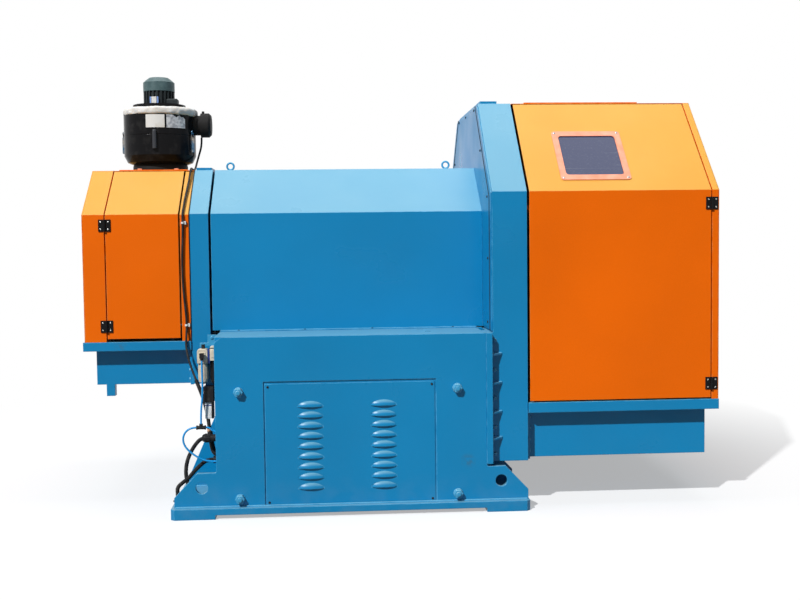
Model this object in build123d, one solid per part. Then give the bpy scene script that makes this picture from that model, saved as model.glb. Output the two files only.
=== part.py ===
from build123d import *
import os
from math import atan2, cos, hypot, pi, radians, sin, tan

os.makedirs("parts", exist_ok=True)

# All lengths are in millimetres: X along the machine, Y to the back, Z up from the floor.
# The machine axis, along which the cable runs, is parallel to X at this height.
axis_z = 1048
cable_bore_radius = 60
seat = 0.3
running_gap = 5

# Both ends of the machine share two octagonal outlines, one small and one large.
small_half_depth = 493
small_roof_half = 246
small_eaves_z = 1208
small_roof_z = 1404
large_half_depth = 753
large_roof_half = 365
large_eaves_z = 1279
large_roof_z = 1674

# Base weldment
base_left_x = -535
base_right_x = 543
base_front_y = -798
base_top_z = 715
floor_reach = 171
floor_ledge = 30
floor_plate_thickness = 25
foot_height = 17
foot_length_x = 175
foot_length_y = 300
foot_corner = 14
side_plate_thickness = 20
end_plate_thickness = 25
deck_thickness = 15
top_corner_chamfer = 22
ear_height = 136
ear_foot_height = 40
ear_setback = 4
ear_flat = 76
ear_hole_radius = 24
ear_hole_height = 78
ear_hole_inset = 58
inner_corner_radius = 8
strip_gap = 10
strip_proud = 3
strip_notch_y = (505, 660)
strip_notch_depth = 60
gusset_y = 400
gusset_thickness = 16
gusset_height = 338
gusset_top = 24
gusset_toe = 14
anchor_inset_x = 74
anchor_inset_y = 138
anchor_hole_radius = 14

# Louvred access panels, front and back
panel_width = 675
panel_height = 485
panel_centre_x = -2.5
panel_gap = 5
panel_sheet = 3
panel_recess = 2
panel_lip = 30
louvre_width = 105
louvre_rise = 24
louvre_depth = 10
louvre_sheet = 1.8
louvre_pitch = 41
louvre_rows = 9
louvre_first_z = 105
louvre_column_xs = (-161.5, 129.5)

# Tie bolts through the base walls
bolt_xs = (-443, 425)
bolt_zs = (73, 498)
bolt_radius = 12
nut_across_flats = 38
nut_height = 19
washer_radius = 23
washer_thickness = 3
stud_end = 7
stud_chamfer = 2

# Portals
left_portal_x = (-656, -578)
left_portal_bottom_z = 496
left_bracket_half_y = 460
left_bracket_z = (520, 700)
right_portal_x = (577, 718)
right_portal_bottom_z = 189
cover_thickness = 4
cover_margin = 10
left_pad_width = 66
right_pad_width = 73
right_pad_inset = 9
roof_pad_height = 11
roof_pad_margin = 4
portal_rib_zs = (281, 387, 505, 622)
portal_rib_thickness = 8
portal_rib_length = 47
nose_flange_radius = 140
nose_flange_thickness = 22
nose_radius = 95
nose_length = 72

# Sheet-metal hoods
sheet = 3
hood_sheet = 4
central_hood_gap = 10
central_hood_z = 719
central_flange = 25
eye_bolt_xs = (-522, 473)
eye_ring_radius = 15.5
eye_ring_section = 4.5
eye_collar_radius = 13
eye_collar_height = 5
eye_shank_radius = 7
eye_shank_height = 18
right_hood_x = (723, 1507)
left_hood_x = (-1098, -659)
right_hinge_x = 1477
left_hinge_x = -1005
left_door_free_x = -702
right_door_free_x = 728
hinge_side_gap = 5
lap_recess = 5
edge_return = 18
hatch_x = (779, 1278)
hatch_thickness = 5
hatch_margin = 3

# Door window
window_centre_x = 1013
window_centre_up = 212
window_width = 240
window_height = 241
window_frame_width = 291
window_frame_height = 300
window_frame_thickness = 4
pane_thickness = 3
window_corner = 14

# Hinges, 50 by 50 butt hinges
hinge_height = 50
hinge_leaf = 25
leaf_thickness = 4
knuckle_radius = 5.5
hinge_pin_radius = 2.5
pin_clearance = 0.3
pin_offset = 6
middle_knuckle = 16
right_hinge_zs = (490, 1225)
left_hinge_zs = (743, 1163)

# Shelves and the frames under them
right_shelf_x = (720, 1507)
right_shelf_top_z = 425
right_shelf_height = 41
left_shelf_x = (-1104, -658)
left_shelf_top_z = 677
left_shelf_height = 37
shelf_overhang = 7
shelf_sheet = 4
right_frame_end_x = 1469
right_frame_bottom_z = 193
left_frame_end_x = -1062
left_frame_bottom_z = 493
frame_setback = 55
frame_wall = 6
frame_flange = 12
frame_flange_proud = 30
frame_flange_drop = 3
stub_size = 35
stub_length = 49
stub_x = -1006

# Vacuum unit on the left roof
vacuum_x = -839
mount_plate_x = (-1000, -700)
mount_plate_half_y = 150
mount_plate_thickness = 10
drum_foot_height = 22
drum_foot_radius = 16
drum_foot_circle = 85
drum_radius = 161
drum_floor_radius = 104
drum_taper_radius = 146
drum_taper_height = 46
drum_taper_break = 16
drum_wall_height = 191
drum_seam_height = 88
drum_seam_width = 3
lid_radius = 118
lid_height = 40
collar_height = 40
motor_radius = 69.5
motor_core_radius = 62
motor_height = 62
fin_count = 24
fin_share = 0.38
cowl_height = 63
cowl_rim_height = 41
cowl_crown_height = 9
cowl_crown_radius = 56
cowl_top_radius = 44
terminal_box_size = (50, 46, 24)
terminal_box_offset = (68, -54)
terminal_box_fillet = 8
inlet_neck_radius = 45
inlet_cap_radius = 55
inlet_cap_x = (-652, -605)
inlet_cap_chamfer = 10
inlet_centre_drop = 50
inlet_knob_radius = 6
inlet_knob_height = 9
handle_x = -840
handle_width = 18
handle_height = 84
handle_proud = 16
handle_top_drop = 82
latch_turns = (180, -22)
latch_width = 22
latch_height = 74
latch_thickness = 8
latch_top_drop = 104

# Air service set and valve on the left end of the base
service_y = -700
regulator_size = (37, 46)
regulator_x = -593
regulator_z = (522, 676)
regulator_head_height = 56
regulator_head_fillet = 5
bowl_radius = 18
bowl_drain_radius = 9
bowl_taper = 8
knob_radius = 9
knob_height = 12
second_unit_drop = 6
elbow_z = 640
elbow_offset = 3
elbow_stem_radius = 7
elbow_half = 9
elbow_drop = 16
elbow_rise = 8
valve_x = (-587, -547)
valve_z = (449, 513)
valve_body_height = 66
valve_body_inset = 6
valve_slot_count = 6
valve_slot_pitch = 9
valve_slot_height = 4
valve_slot_depth = 3
bracket_thickness = 8
bracket_foot = 50
tee_arm = 15
tee_radius = 7.5
tee_ring_radius = 9
tee_ring_length = 5
gland_radius = 15
floor_gland_radius = 14
tie_band_height = 8
tie_band_thickness = 2
tie_pad_height = 14
tie_pad_reach = (5, 14)

# Cords that the machine holds at both ends
power_cable_diameter = 9
air_tube_diameter = 8
hose_diameter = 17


def box(x, y, z):
    """Box between the (low, high) pairs x, y and z."""
    size = Box(x[1] - x[0], y[1] - y[0], z[1] - z[0])
    return Pos((x[0] + x[1]) / 2, (y[0] + y[1]) / 2, (z[0] + z[1]) / 2) * size


def prism_x(points, x):
    """Prism along X with its section given as (y, z) points."""
    face = make_face(Plane.YZ.offset(x[0]) * Polyline(*points, close=True))
    return extrude(face, x[1] - x[0], dir=(1, 0, 0))


def prism_y(points, y):
    """Prism along Y with its section given as (x, z) points."""
    face = make_face(Plane.XZ.offset(-y[0]) * Polyline(*points, close=True))
    return extrude(face, y[1] - y[0], dir=(0, 1, 0))


def rod(start, end, radius):
    """Round rod between two points on a line parallel to an axis."""
    direction = Vector(*end) - Vector(*start)
    return extrude(Plane(origin=start, z_dir=direction) * Circle(radius), direction.length)


def turned(points, x, y):
    """Body of revolution about a vertical axis, from (radius, z) points."""
    profile = make_face(Plane.XZ * Polyline(*points, close=True))
    return Pos(x, y, 0) * revolve(profile, Axis.Z)


def mirrored(solid):
    """The solid and its mirror image at the back of the machine, as one group."""
    return solid + mirror(solid, Plane.XZ)


class Outline:
    """Octagonal outline of a housing in the YZ plane, symmetric about the machine axis."""

    def __init__(self, half_depth, roof_half, eaves_z, roof_z):
        self.half_depth = half_depth
        self.roof_half = roof_half
        self.eaves_z = eaves_z
        self.roof_z = roof_z
        self.run = half_depth - roof_half
        self.rise = roof_z - eaves_z
        self.slope_length = hypot(self.run, self.rise)
        self.lean = atan2(self.run, self.rise)

    def front(self, inset, bottom_z):
        """Front half of the outline moved inwards by inset, from the bottom up to the roof corner."""
        wall_y = -(self.half_depth - inset)
        eaves = (wall_y, self.eaves_z - inset * tan(self.lean / 2))
        corner = (-(self.roof_half - inset * tan((pi / 2 - self.lean) / 2)), self.roof_z - inset)
        return [(wall_y, bottom_z), eaves, corner]

    def whole(self, inset, bottom_z):
        """Closed outline moved inwards by inset."""
        front = self.front(inset, bottom_z)
        back = [(-y, z) for y, z in reversed(front)]
        return front + back

    def on_slope(self, up, inset):
        """Point on the front slope, a distance up it from the eaves and inset below its surface."""
        away_y = inset * cos(self.lean)
        away_z = -inset * sin(self.lean)
        y = -self.half_depth + up * sin(self.lean) + away_y
        return (y, self.eaves_z + up * cos(self.lean) + away_z)

    def slope_plane(self, x, up):
        """Plane on the front slope: its x along the machine, its y up the slope, its z outwards."""
        y, z = self.on_slope(up, 0)
        return Plane(origin=(x, y, z), x_dir=(1, 0, 0), z_dir=(0, -cos(self.lean), sin(self.lean)))

    def folded_panel(self, x, bottom_z, inset, thickness, top_gap=seat):
        """Front panel folded from one sheet: upright wall and slope, up to a gap at the roof's edge."""
        top = self.slope_length - sheet * cos(self.lean) - top_gap
        outer = self.front(inset, bottom_z)[:2] + [self.on_slope(top, inset)]
        inner = self.front(inset + thickness, bottom_z)[:2] + [self.on_slope(top, inset + thickness)]
        return prism_x(outer + inner[::-1], x)


small = Outline(small_half_depth, small_roof_half, small_eaves_z, small_roof_z)
large = Outline(large_half_depth, large_roof_half, large_eaves_z, large_roof_z)

right_door_bottom_z = right_shelf_top_z + running_gap + 1
left_door_bottom_z = left_shelf_top_z + 13
base_back_inner_y = -base_front_y - side_plate_thickness
floor_plate_half_x = base_right_x + floor_reach
floor_plate_half_y = -base_front_y + floor_ledge
ear_reach = floor_reach - ear_setback
anchor_x = floor_plate_half_x - anchor_inset_x
anchor_y = floor_plate_half_y - anchor_inset_y
floor_plate_top_z = foot_height + floor_plate_thickness
end_strip_x = base_right_x + end_plate_thickness
strip_bottom_z = floor_plate_top_z + ear_height + strip_gap
drum_bottom_z = small_roof_z + mount_plate_thickness + drum_foot_height
drum_shoulder_z = drum_bottom_z + drum_taper_height
drum_rim_z = drum_shoulder_z + drum_wall_height
lid_top_z = drum_rim_z + lid_height
motor_top_z = lid_top_z + motor_height
inlet_z = drum_rim_z - inlet_centre_drop


def cable_bore(x, margin=1):
    """Cutter for the cable's way through the wall that spans the (low, high) pair x."""
    return rod((x[0] - margin, 0, axis_z), (x[1] + margin, 0, axis_z), cable_bore_radius)


def floor_plate():
    """Floor plate with a foot pad under each corner, drilled through for the anchor bolts."""
    length_x = (-floor_plate_half_x, floor_plate_half_x)
    length_y = (-floor_plate_half_y, floor_plate_half_y)
    plate = box(length_x, length_y, (foot_height, floor_plate_top_z))
    for side in (-1, 1):
        for end in (-1, 1):
            xs = sorted((side * floor_plate_half_x, side * (floor_plate_half_x - foot_length_x)))
            ys = sorted((end * floor_plate_half_y, end * (floor_plate_half_y - foot_length_y)))
            plate += box(xs, ys, (0, foot_height))
    corners = plate.edges().filter_by(Axis.Z).filter_by(
        lambda edge: abs(edge.center().X) > floor_plate_half_x - 1
        and abs(edge.center().Y) > floor_plate_half_y - 1
    )
    plate = chamfer(corners, foot_corner)
    for x in (-anchor_x, anchor_x):
        for y in (-anchor_y, anchor_y):
            plate -= rod((x, y, -1), (x, y, floor_plate_top_z + 1), anchor_hole_radius)
    return plate


def ear_points(inner_x, side):
    """Outline of a lifting ear that stands out from inner_x, from its inner top corner to its foot."""
    low = floor_plate_top_z
    return [
        (inner_x, low + ear_height),
        (inner_x + side * ear_flat, low + ear_height),
        (inner_x + side * ear_reach, low + ear_foot_height),
        (inner_x + side * ear_reach, low),
    ]


def side_wall():
    """Front wall of the base: one thick plate with a lifting ear at each end and a rebated opening."""
    low = floor_plate_top_z
    left = ear_points(base_left_x, -1)[::-1]
    right = ear_points(base_right_x, 1)
    top = [
        (base_left_x, base_top_z - top_corner_chamfer),
        (base_left_x + top_corner_chamfer * 1.2, base_top_z),
        (base_right_x, base_top_z),
    ]
    y = (base_front_y, base_front_y + side_plate_thickness)
    wall = prism_y(left + top + right, y)
    inner_corners = wall.edges().filter_by(Axis.Y).filter_by(
        lambda edge: abs(edge.center().Z - low - ear_height) < 1
        and (abs(edge.center().X - base_left_x) < 1 or abs(edge.center().X - base_right_x) < 1)
    )
    wall = fillet(inner_corners, inner_corner_radius)
    for x in (base_left_x - ear_hole_inset, base_right_x + ear_hole_inset):
        z = low + ear_hole_height
        wall -= rod((x, y[0] - 1, z), (x, y[1] + 1, z), ear_hole_radius)
    half = panel_width / 2 + panel_gap
    opening_x = (panel_centre_x - half, panel_centre_x + half)
    opening_z = (low - 1, low + panel_height + 2 * panel_gap)
    rebate = panel_recess + panel_sheet
    wall -= box(opening_x, (y[0] - 1, y[0] + rebate), opening_z)
    wall -= box(
        (opening_x[0] + panel_lip, opening_x[1] - panel_lip),
        (y[0] - 1, y[1] + 1),
        (low + panel_lip, opening_z[1] - panel_lip),
    )
    return wall


def left_end_wall():
    y = (-base_back_inner_y, base_back_inner_y)
    x = (base_left_x, base_left_x + side_plate_thickness)
    return box(x, y, (floor_plate_top_z, base_top_z - deck_thickness))


def right_end_wall():
    """End wall whose upper part runs past the front and back walls as the portal's mounting strip."""
    strip_y = -base_front_y + strip_proud
    upper = box((base_right_x, end_strip_x), (-strip_y, strip_y), (strip_bottom_z, base_top_z))
    notch_z = (base_top_z - strip_notch_depth, base_top_z + 1)
    upper -= mirrored(box((base_right_x - 1, end_strip_x + 1), strip_notch_y, notch_z))
    lower_x = (base_right_x, base_right_x + side_plate_thickness)
    lower_y = (-base_back_inner_y, base_back_inner_y)
    return upper + box(lower_x, lower_y, (floor_plate_top_z, strip_bottom_z))


def deck():
    y = (-base_back_inner_y, base_back_inner_y)
    return box((base_left_x, base_right_x), y, (base_top_z - deck_thickness, base_top_z))


def base_gussets():
    """Upright ribs that stand on the floor plate and stiffen both end walls."""
    low = floor_plate_top_z
    y = (-gusset_y - gusset_thickness / 2, -gusset_y + gusset_thickness / 2)
    left = [
        (base_left_x, low),
        (base_left_x, low + gusset_height),
        (base_left_x - gusset_top, low + gusset_height),
        (base_left_x - ear_reach, low + gusset_toe),
        (base_left_x - ear_reach, low),
    ]
    inner = base_right_x + side_plate_thickness
    right = [(inner, low), (inner, low + ear_height)] + ear_points(base_right_x, 1)[1:]
    return mirrored(prism_y(left, y) + prism_y(right, y))


def louvre(x, z):
    """Pressed louvre with its mouth downwards at height z, and the hollow that opens it to the back."""
    # The pressing is part of a barrel whose axis lies behind the sheet, level with the mouth.
    behind = (louvre_rise ** 2 - louvre_depth ** 2) / (2 * louvre_depth)
    front_y = base_front_y + panel_recess
    axis_y = front_y + behind

    def barrel(half_width, crown):
        low = z + behind
        ends = [(x + half_width, low), (x + half_width, z), (x - half_width, z), (x - half_width, low)]
        arc = ThreePointArc(ends[3], (x, z + crown), ends[0])
        face = make_face(Plane.XZ.offset(-axis_y) * (arc + Polyline(*ends)))
        return revolve(face, Axis((0, axis_y, z), (1, 0, 0)), 90)

    crown = behind + louvre_depth
    span = (x - louvre_width, x + louvre_width)
    outside = box(span, (front_y - 2 * louvre_depth, front_y), (z, z + 2 * louvre_rise))
    reach = box(span, (front_y - 2 * louvre_depth, front_y + panel_sheet), (z - 1, z + 2 * louvre_rise))
    shell = barrel(louvre_width / 2, crown) & outside
    hollow = barrel(louvre_width / 2 - louvre_sheet, crown - louvre_sheet) & reach
    return shell, hollow


def access_panel():
    """Sheet cover with two columns of pressed louvres, held in the wall's rebate."""
    front_y = base_front_y + panel_recess
    x = (panel_centre_x - panel_width / 2, panel_centre_x + panel_width / 2)
    low = floor_plate_top_z + seat
    panel = box(x, (front_y, front_y + panel_sheet), (low, low + panel_height))
    for column in louvre_column_xs:
        for row in range(louvre_rows):
            shell, hollow = louvre(column, louvre_first_z + row * louvre_pitch)
            panel = panel + shell - hollow
    return panel


def tie_bolts():
    """Stud end, nut and washer of each tie bolt on the front and back walls."""
    bolts = []
    for x in bolt_xs:
        for z in bolt_zs:
            wall_y = base_front_y
            face_y = wall_y - washer_thickness
            bolt = rod((x, wall_y, z), (x, face_y, z), washer_radius)
            nut_plane = Plane(origin=(x, face_y, z), x_dir=(1, 0, 0), z_dir=(0, -1, 0))
            bolt += extrude(nut_plane * RegularPolygon(nut_across_flats / 3 ** 0.5, 6), nut_height)
            stud = rod((x, face_y, z), (x, face_y - nut_height - stud_end, z), bolt_radius)
            bolts.append(bolt + chamfer(stud.faces().sort_by(Axis.Y)[0].edges(), stud_chamfer))
    return mirrored(Compound(bolts))


def roof_pad(outline, x):
    """Flat bar along the top of a portal, short of its two roof corners."""
    half = outline.roof_half - roof_pad_margin
    return box(x, (-half, half), (outline.roof_z, outline.roof_z + roof_pad_height))


def left_portal():
    """Narrow portal with the foot that bolts to the base's left end wall."""
    x = left_portal_x
    portal = prism_x(small.whole(0, left_portal_bottom_z), x)
    bracket_y = (-left_bracket_half_y, left_bracket_half_y)
    portal += box((x[1], base_left_x), bracket_y, left_bracket_z)
    middle = (x[0] + x[1]) / 2
    portal += roof_pad(small, (middle - left_pad_width / 2, middle + left_pad_width / 2))
    return portal - cable_bore(x)


def right_portal():
    """Wide portal that hangs on the base's end strip; its upper left face carries a cover."""
    x = right_portal_x
    portal = prism_x(large.whole(0, right_portal_bottom_z), x)
    lower_y = (-large.half_depth, large.half_depth)
    portal += box((end_strip_x, x[0]), lower_y, (right_portal_bottom_z, base_top_z - cover_thickness))
    portal += roof_pad(large, (x[0] + right_pad_inset, x[0] + right_pad_inset + right_pad_width))
    return portal - cable_bore(x)


def portal_cover():
    """Screwed sheet cover on the left face of the wide portal, above the base."""
    x = (right_portal_x[0] - cover_thickness, right_portal_x[0])
    cover = prism_x(large.whole(cover_margin, base_top_z + cover_thickness), x)
    return cover - cable_bore(x)


def portal_ribs():
    """Small level ribs that weld the end strip to the front and back of the wide portal."""
    ribs = []
    for z in portal_rib_zs:
        corner = (end_strip_x, -large.half_depth)
        points = [corner, (corner[0] + portal_rib_length, corner[1]), (corner[0], base_front_y)]
        face = make_face(Plane.XY.offset(z) * Polyline(*points, close=True))
        ribs.append(extrude(face, portal_rib_thickness, dir=(0, 0, 1)))
    return mirrored(Compound(ribs))


def spindle_nose(face_x, side):
    """Flanged hollow nose on the outer face of a portal, round the cable's way."""
    flange = rod((face_x, 0, axis_z), (face_x + side * nose_flange_thickness, 0, axis_z), nose_flange_radius)
    nose = flange + rod((face_x, 0, axis_z), (face_x + side * nose_length, 0, axis_z), nose_radius)
    return nose - cable_bore(sorted((face_x, face_x + side * nose_length)))


def central_hood():
    """Cover over the drive: a sheet folded over the base, with outward flanges that are screwed down."""
    x = (left_portal_x[1] + central_hood_gap, right_portal_x[0] - cover_thickness)
    hollow = prism_x(small.whole(hood_sheet, central_hood_z - 1), (x[0] - 1, x[1] + 1))
    hood = prism_x(small.whole(0, central_hood_z), x) - hollow
    flange_y = (-small.half_depth - central_flange, -small.half_depth + hood_sheet)
    flange = box((base_left_x, base_right_x), flange_y, (base_top_z, base_top_z + hood_sheet))
    return hood + mirrored(flange)


def eye_bolts():
    bolts = []
    for x in eye_bolt_xs:
        top = small.roof_z
        collar = rod((x, 0, top), (x, 0, top + eye_collar_height), eye_collar_radius)
        shank = rod((x, 0, top), (x, 0, top + eye_shank_height), eye_shank_radius)
        ring_z = top + eye_shank_height + eye_ring_radius - eye_ring_section / 2
        ring = Pos(x, 0, ring_z) * Rot(90, 0, 0) * Torus(eye_ring_radius, eye_ring_section)
        bolts.append(collar + shank + ring)
    return Compound(bolts)


def end_wall(outline, x, bottom_z):
    """Flat end sheet of a hood with the round port for the cable."""
    return prism_x(outline.whole(0, bottom_z), x) - cable_bore(x)


def roof_sheet(outline, x):
    y = (-outline.roof_half, outline.roof_half)
    return box(x, y, (outline.roof_z - sheet, outline.roof_z))


def right_roof():
    """Roof of the large hood with the flat cover plate that lies on it."""
    half = large.roof_half - hatch_margin
    cover = box(hatch_x, (-half, half), (large.roof_z, large.roof_z + hatch_thickness))
    return roof_sheet(large, right_skin_x) + cover


def hinged_edge(outline, x, bottom_z, top_gap=seat):
    """Return flange folded inwards along a panel's edge at the hinges."""
    return outline.folded_panel(x, bottom_z, 0, edge_return, top_gap)


def back_panel(outline, x, bottom_z):
    return mirror(outline.folded_panel(x, bottom_z, 0, sheet), Plane.XZ)


def right_door():
    """Folded door with the window's opening in its slope."""
    x = (right_door_free_x, right_hinge_x - hinge_side_gap / 2)
    door = large.folded_panel(x, right_door_bottom_z, 0, sheet, running_gap)
    door += hinged_edge(large, (x[1] - sheet, x[1]), right_door_bottom_z, running_gap)
    plane = large.slope_plane(window_centre_x, window_centre_up)
    hole = plane * RectangleRounded(window_width, window_height, window_corner)
    opening = extrude(hole, 2 * sheet, both=True)
    return door - opening


def left_door():
    x = (left_hinge_x + hinge_side_gap / 2, left_door_free_x)
    door = small.folded_panel(x, left_door_bottom_z, 0, sheet, running_gap)
    return door + hinged_edge(small, (x[0], x[0] + sheet), left_door_bottom_z, running_gap)


def window_frame():
    plane = large.slope_plane(window_centre_x, window_centre_up)
    outside = plane * RectangleRounded(window_frame_width, window_frame_height, window_corner)
    hole = plane * RectangleRounded(window_width, window_height, window_corner)
    return extrude(outside, window_frame_thickness) - extrude(hole, 2 * window_frame_thickness, both=True)


def window_pane():
    plane = large.slope_plane(window_centre_x, window_centre_up)
    width = window_width - 2 * seat
    height = window_height - 2 * seat
    pane = RectangleRounded(width, height, window_corner - seat)
    return extrude(plane * pane, -pane_thickness)


def hinge(outline, x, z, door_side):
    """Fixed and moving leaf of one hinge; the door lies on the door_side of its pin."""
    face_y = -outline.half_depth
    pin_y = face_y - pin_offset
    low, high = z - hinge_height / 2, z + hinge_height / 2
    mid_low, mid_high = z - middle_knuckle / 2, z + middle_knuckle / 2

    def leaf(side, tab_z):
        clear = knuckle_radius + 0.7
        plate_x = sorted((x + side * clear, x + side * hinge_leaf))
        plate = box(plate_x, (face_y - leaf_thickness, face_y), (low, high))
        tab_x = sorted((x, x + side * clear))
        for span in tab_z:
            plate += box(tab_x, (face_y - leaf_thickness, face_y - 1), span)
            plate += rod((x, pin_y, span[0]), (x, pin_y, span[1]), knuckle_radius)
        return plate

    fixed = leaf(-door_side, [(mid_low, mid_high)])
    fixed += rod((x, pin_y, low), (x, pin_y, high), hinge_pin_radius)
    gap = pin_clearance
    moving = leaf(door_side, [(low, mid_low - gap), (mid_high + gap, high)])
    moving -= rod((x, pin_y, low - 1), (x, pin_y, high + 1), hinge_pin_radius + pin_clearance)
    return fixed, moving


def shelf(outline, x, top_z, height):
    """Tray that carries a hood, folded down along its four edges."""
    half = outline.half_depth + shelf_overhang
    tray = box(x, (-half, half), (top_z - height, top_z))
    inner = half - shelf_sheet
    return tray - box(
        (x[0] + shelf_sheet, x[1] - shelf_sheet), (-inner, inner), (top_z - height - 1, top_z - shelf_sheet)
    )


def under_frame(outline, portal_x, end_x, z):
    """Box frame under a tray, open at the top, with a flange screwed to the portal."""
    side = 1 if end_x > portal_x else -1
    half = outline.half_depth - frame_setback
    x = sorted((portal_x + side * frame_flange, end_x))
    frame = box(x, (-half, half), z)
    inner = half - frame_wall
    inner_x = (x[0] + frame_wall, x[1] - frame_wall)
    frame -= box(inner_x, (-inner, inner), (z[0] + frame_wall, z[1] + 1))
    flange_x = sorted((portal_x, portal_x + side * frame_flange))
    flange_half = half + frame_flange_proud
    return frame + box(flange_x, (-flange_half, flange_half), (z[0] - frame_flange_drop, z[1]))


def left_under_frame():
    """Frame under the left tray, with two square stubs under its outer corners."""
    z = (left_frame_bottom_z, left_shelf_top_z - left_shelf_height)
    frame = under_frame(small, left_portal_x[0], left_frame_end_x, z)
    half = stub_size / 2
    y = -(small.half_depth - frame_setback) + half
    low = left_frame_bottom_z - stub_length
    x = (stub_x - half, stub_x + half)
    return frame + mirrored(box(x, (y - half, y + half), (low, left_frame_bottom_z)))


def vacuum_mount():
    """Plate on the roof with four short feet under the drum."""
    top = small.roof_z + mount_plate_thickness
    plate = box(mount_plate_x, (-mount_plate_half_y, mount_plate_half_y), (small.roof_z, top))
    for turn in (45, 135, 225, 315):
        x = vacuum_x + drum_foot_circle * cos(radians(turn))
        y = drum_foot_circle * sin(radians(turn))
        plate += rod((x, y, top), (x, y, drum_bottom_z), drum_foot_radius)
    return plate


def vacuum_drum():
    """Drum with a tapered floor, a seam where its two halves meet and a raised lid, in one turned form."""
    seam_z = drum_shoulder_z + drum_seam_height
    groove = drum_radius - drum_seam_width / 2
    profile = [
        (0, drum_bottom_z),
        (drum_floor_radius, drum_bottom_z),
        (drum_taper_radius, drum_bottom_z + drum_taper_break),
        (drum_radius, drum_shoulder_z),
        (drum_radius, seam_z),
        (groove, seam_z + drum_seam_width / 2),
        (drum_radius, seam_z + drum_seam_width),
        (drum_radius, drum_rim_z),
        (lid_radius, drum_rim_z),
        (lid_radius, lid_top_z),
        (0, lid_top_z),
    ]
    return turned(profile, vacuum_x, 0)


def drum_latches():
    """Toggle latches that clamp the drum's two halves together across the seam."""
    latches = []
    top = drum_rim_z - latch_top_drop
    for turn in latch_turns:
        near, far = drum_radius + seat, drum_radius + latch_thickness
        body = box((near, far), (-latch_width / 2, latch_width / 2), (top - latch_height, top))
        body = fillet(body.faces().sort_by(Axis.X)[-1].edges().filter_by(Axis.Y), latch_thickness / 2)
        latches.append(Pos(vacuum_x, 0, 0) * Rot(0, 0, turn) * body)
    return Compound(latches)


def drum_handle():
    """Lever on the front of the drum: a boss on its wall and a round bar that hangs from it."""
    top = drum_rim_z - handle_top_drop
    radius = handle_width / 2
    bar_y = -drum_radius - handle_proud + radius
    bar = rod((handle_x, bar_y, top - handle_height), (handle_x, bar_y, top), radius)
    bar = fillet(bar.edges().sort_by(Axis.Z)[-1], radius * 0.8)
    boss_z = top - radius
    boss = rod((handle_x, bar_y, boss_z), (handle_x, -drum_radius + radius, boss_z), radius * 0.8)
    drum = rod((vacuum_x, 0, drum_bottom_z), (vacuum_x, 0, drum_rim_z), drum_radius + seat)
    return bar + boss - drum


def drum_collar():
    """Soft ring that lies on the drum's rim, round the lid."""
    inner = lid_radius + seat
    outer = drum_radius + 1
    middle = (inner + outer) / 2
    section = Pos(middle, 0, drum_rim_z + seat + collar_height / 2) * Rot(90, 0, 0)
    ring = revolve(section * Ellipse((outer - inner) / 2, collar_height / 2), Axis.Z)
    return Pos(vacuum_x, 0, 0) * ring


def motor_body():
    """Finned motor housing: a core with radial fins."""
    body = rod((0, 0, lid_top_z), (0, 0, motor_top_z), motor_core_radius)
    width = fin_share * 2 * pi * motor_radius / fin_count
    for fin in range(fin_count):
        blade = box((motor_core_radius - 2, motor_radius), (-width / 2, width / 2), (lid_top_z, motor_top_z))
        body += Rot(0, 0, fin * 360 / fin_count) * blade
    return Pos(vacuum_x, 0, 0) * body


def motor_cowl():
    """Fan cowl with a sloping shoulder and a shallow crown."""
    rim = motor_top_z + cowl_rim_height
    top = motor_top_z + cowl_height
    profile = [
        (0, motor_top_z),
        (motor_radius + 1, motor_top_z),
        (motor_radius + 1, rim),
        (cowl_crown_radius, top - cowl_crown_height),
        (cowl_top_radius, top),
        (0, top),
    ]
    return turned(profile, vacuum_x, 0)


def terminal_box():
    length, depth, height = terminal_box_size
    x = vacuum_x + terminal_box_offset[0]
    y = terminal_box_offset[1]
    z = (lid_top_z + seat, lid_top_z + seat + height)
    body = box((x - length / 2, x + length / 2), (y - depth / 2, y + depth / 2), z)
    body = fillet(body.faces().sort_by(Axis.Z)[-1].edges(), terminal_box_fillet)
    return body - rod((vacuum_x, 0, lid_top_z), (vacuum_x, 0, motor_top_z), motor_radius + seat)


def inlet_box():
    """Round neck on the right side of the drum with a larger end cap and a small knob on the cap."""
    neck_x = (vacuum_x + drum_radius / 2, inlet_cap_x[0])
    neck = rod((neck_x[0], 0, inlet_z), (neck_x[1], 0, inlet_z), inlet_neck_radius)
    neck -= rod((vacuum_x, 0, drum_bottom_z), (vacuum_x, 0, lid_top_z), drum_radius + seat)
    cap = rod((inlet_cap_x[0], 0, inlet_z), (inlet_cap_x[1], 0, inlet_z), inlet_cap_radius)
    cap = chamfer(cap.faces().sort_by(Axis.X)[-1].edges(), inlet_cap_chamfer)
    knob_x = inlet_cap_x[0] + inlet_cap_chamfer
    top = inlet_z + inlet_cap_radius + inlet_knob_height
    return neck + cap + rod((knob_x, 0, inlet_z), (knob_x, 0, top), inlet_knob_radius)


def service_bracket():
    """Angle bracket on the base's end wall that carries the air service set and the valve."""
    back = service_y + regulator_size[1] / 2
    plate = box((valve_x[0] + 4, base_left_x), (back, back + bracket_thickness), (valve_z[0], regulator_z[1]))
    foot_x = (base_left_x - bracket_thickness, base_left_x)
    foot = box(foot_x, (back, back + bracket_foot), (valve_z[0], regulator_z[1]))
    return plate + foot


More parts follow.
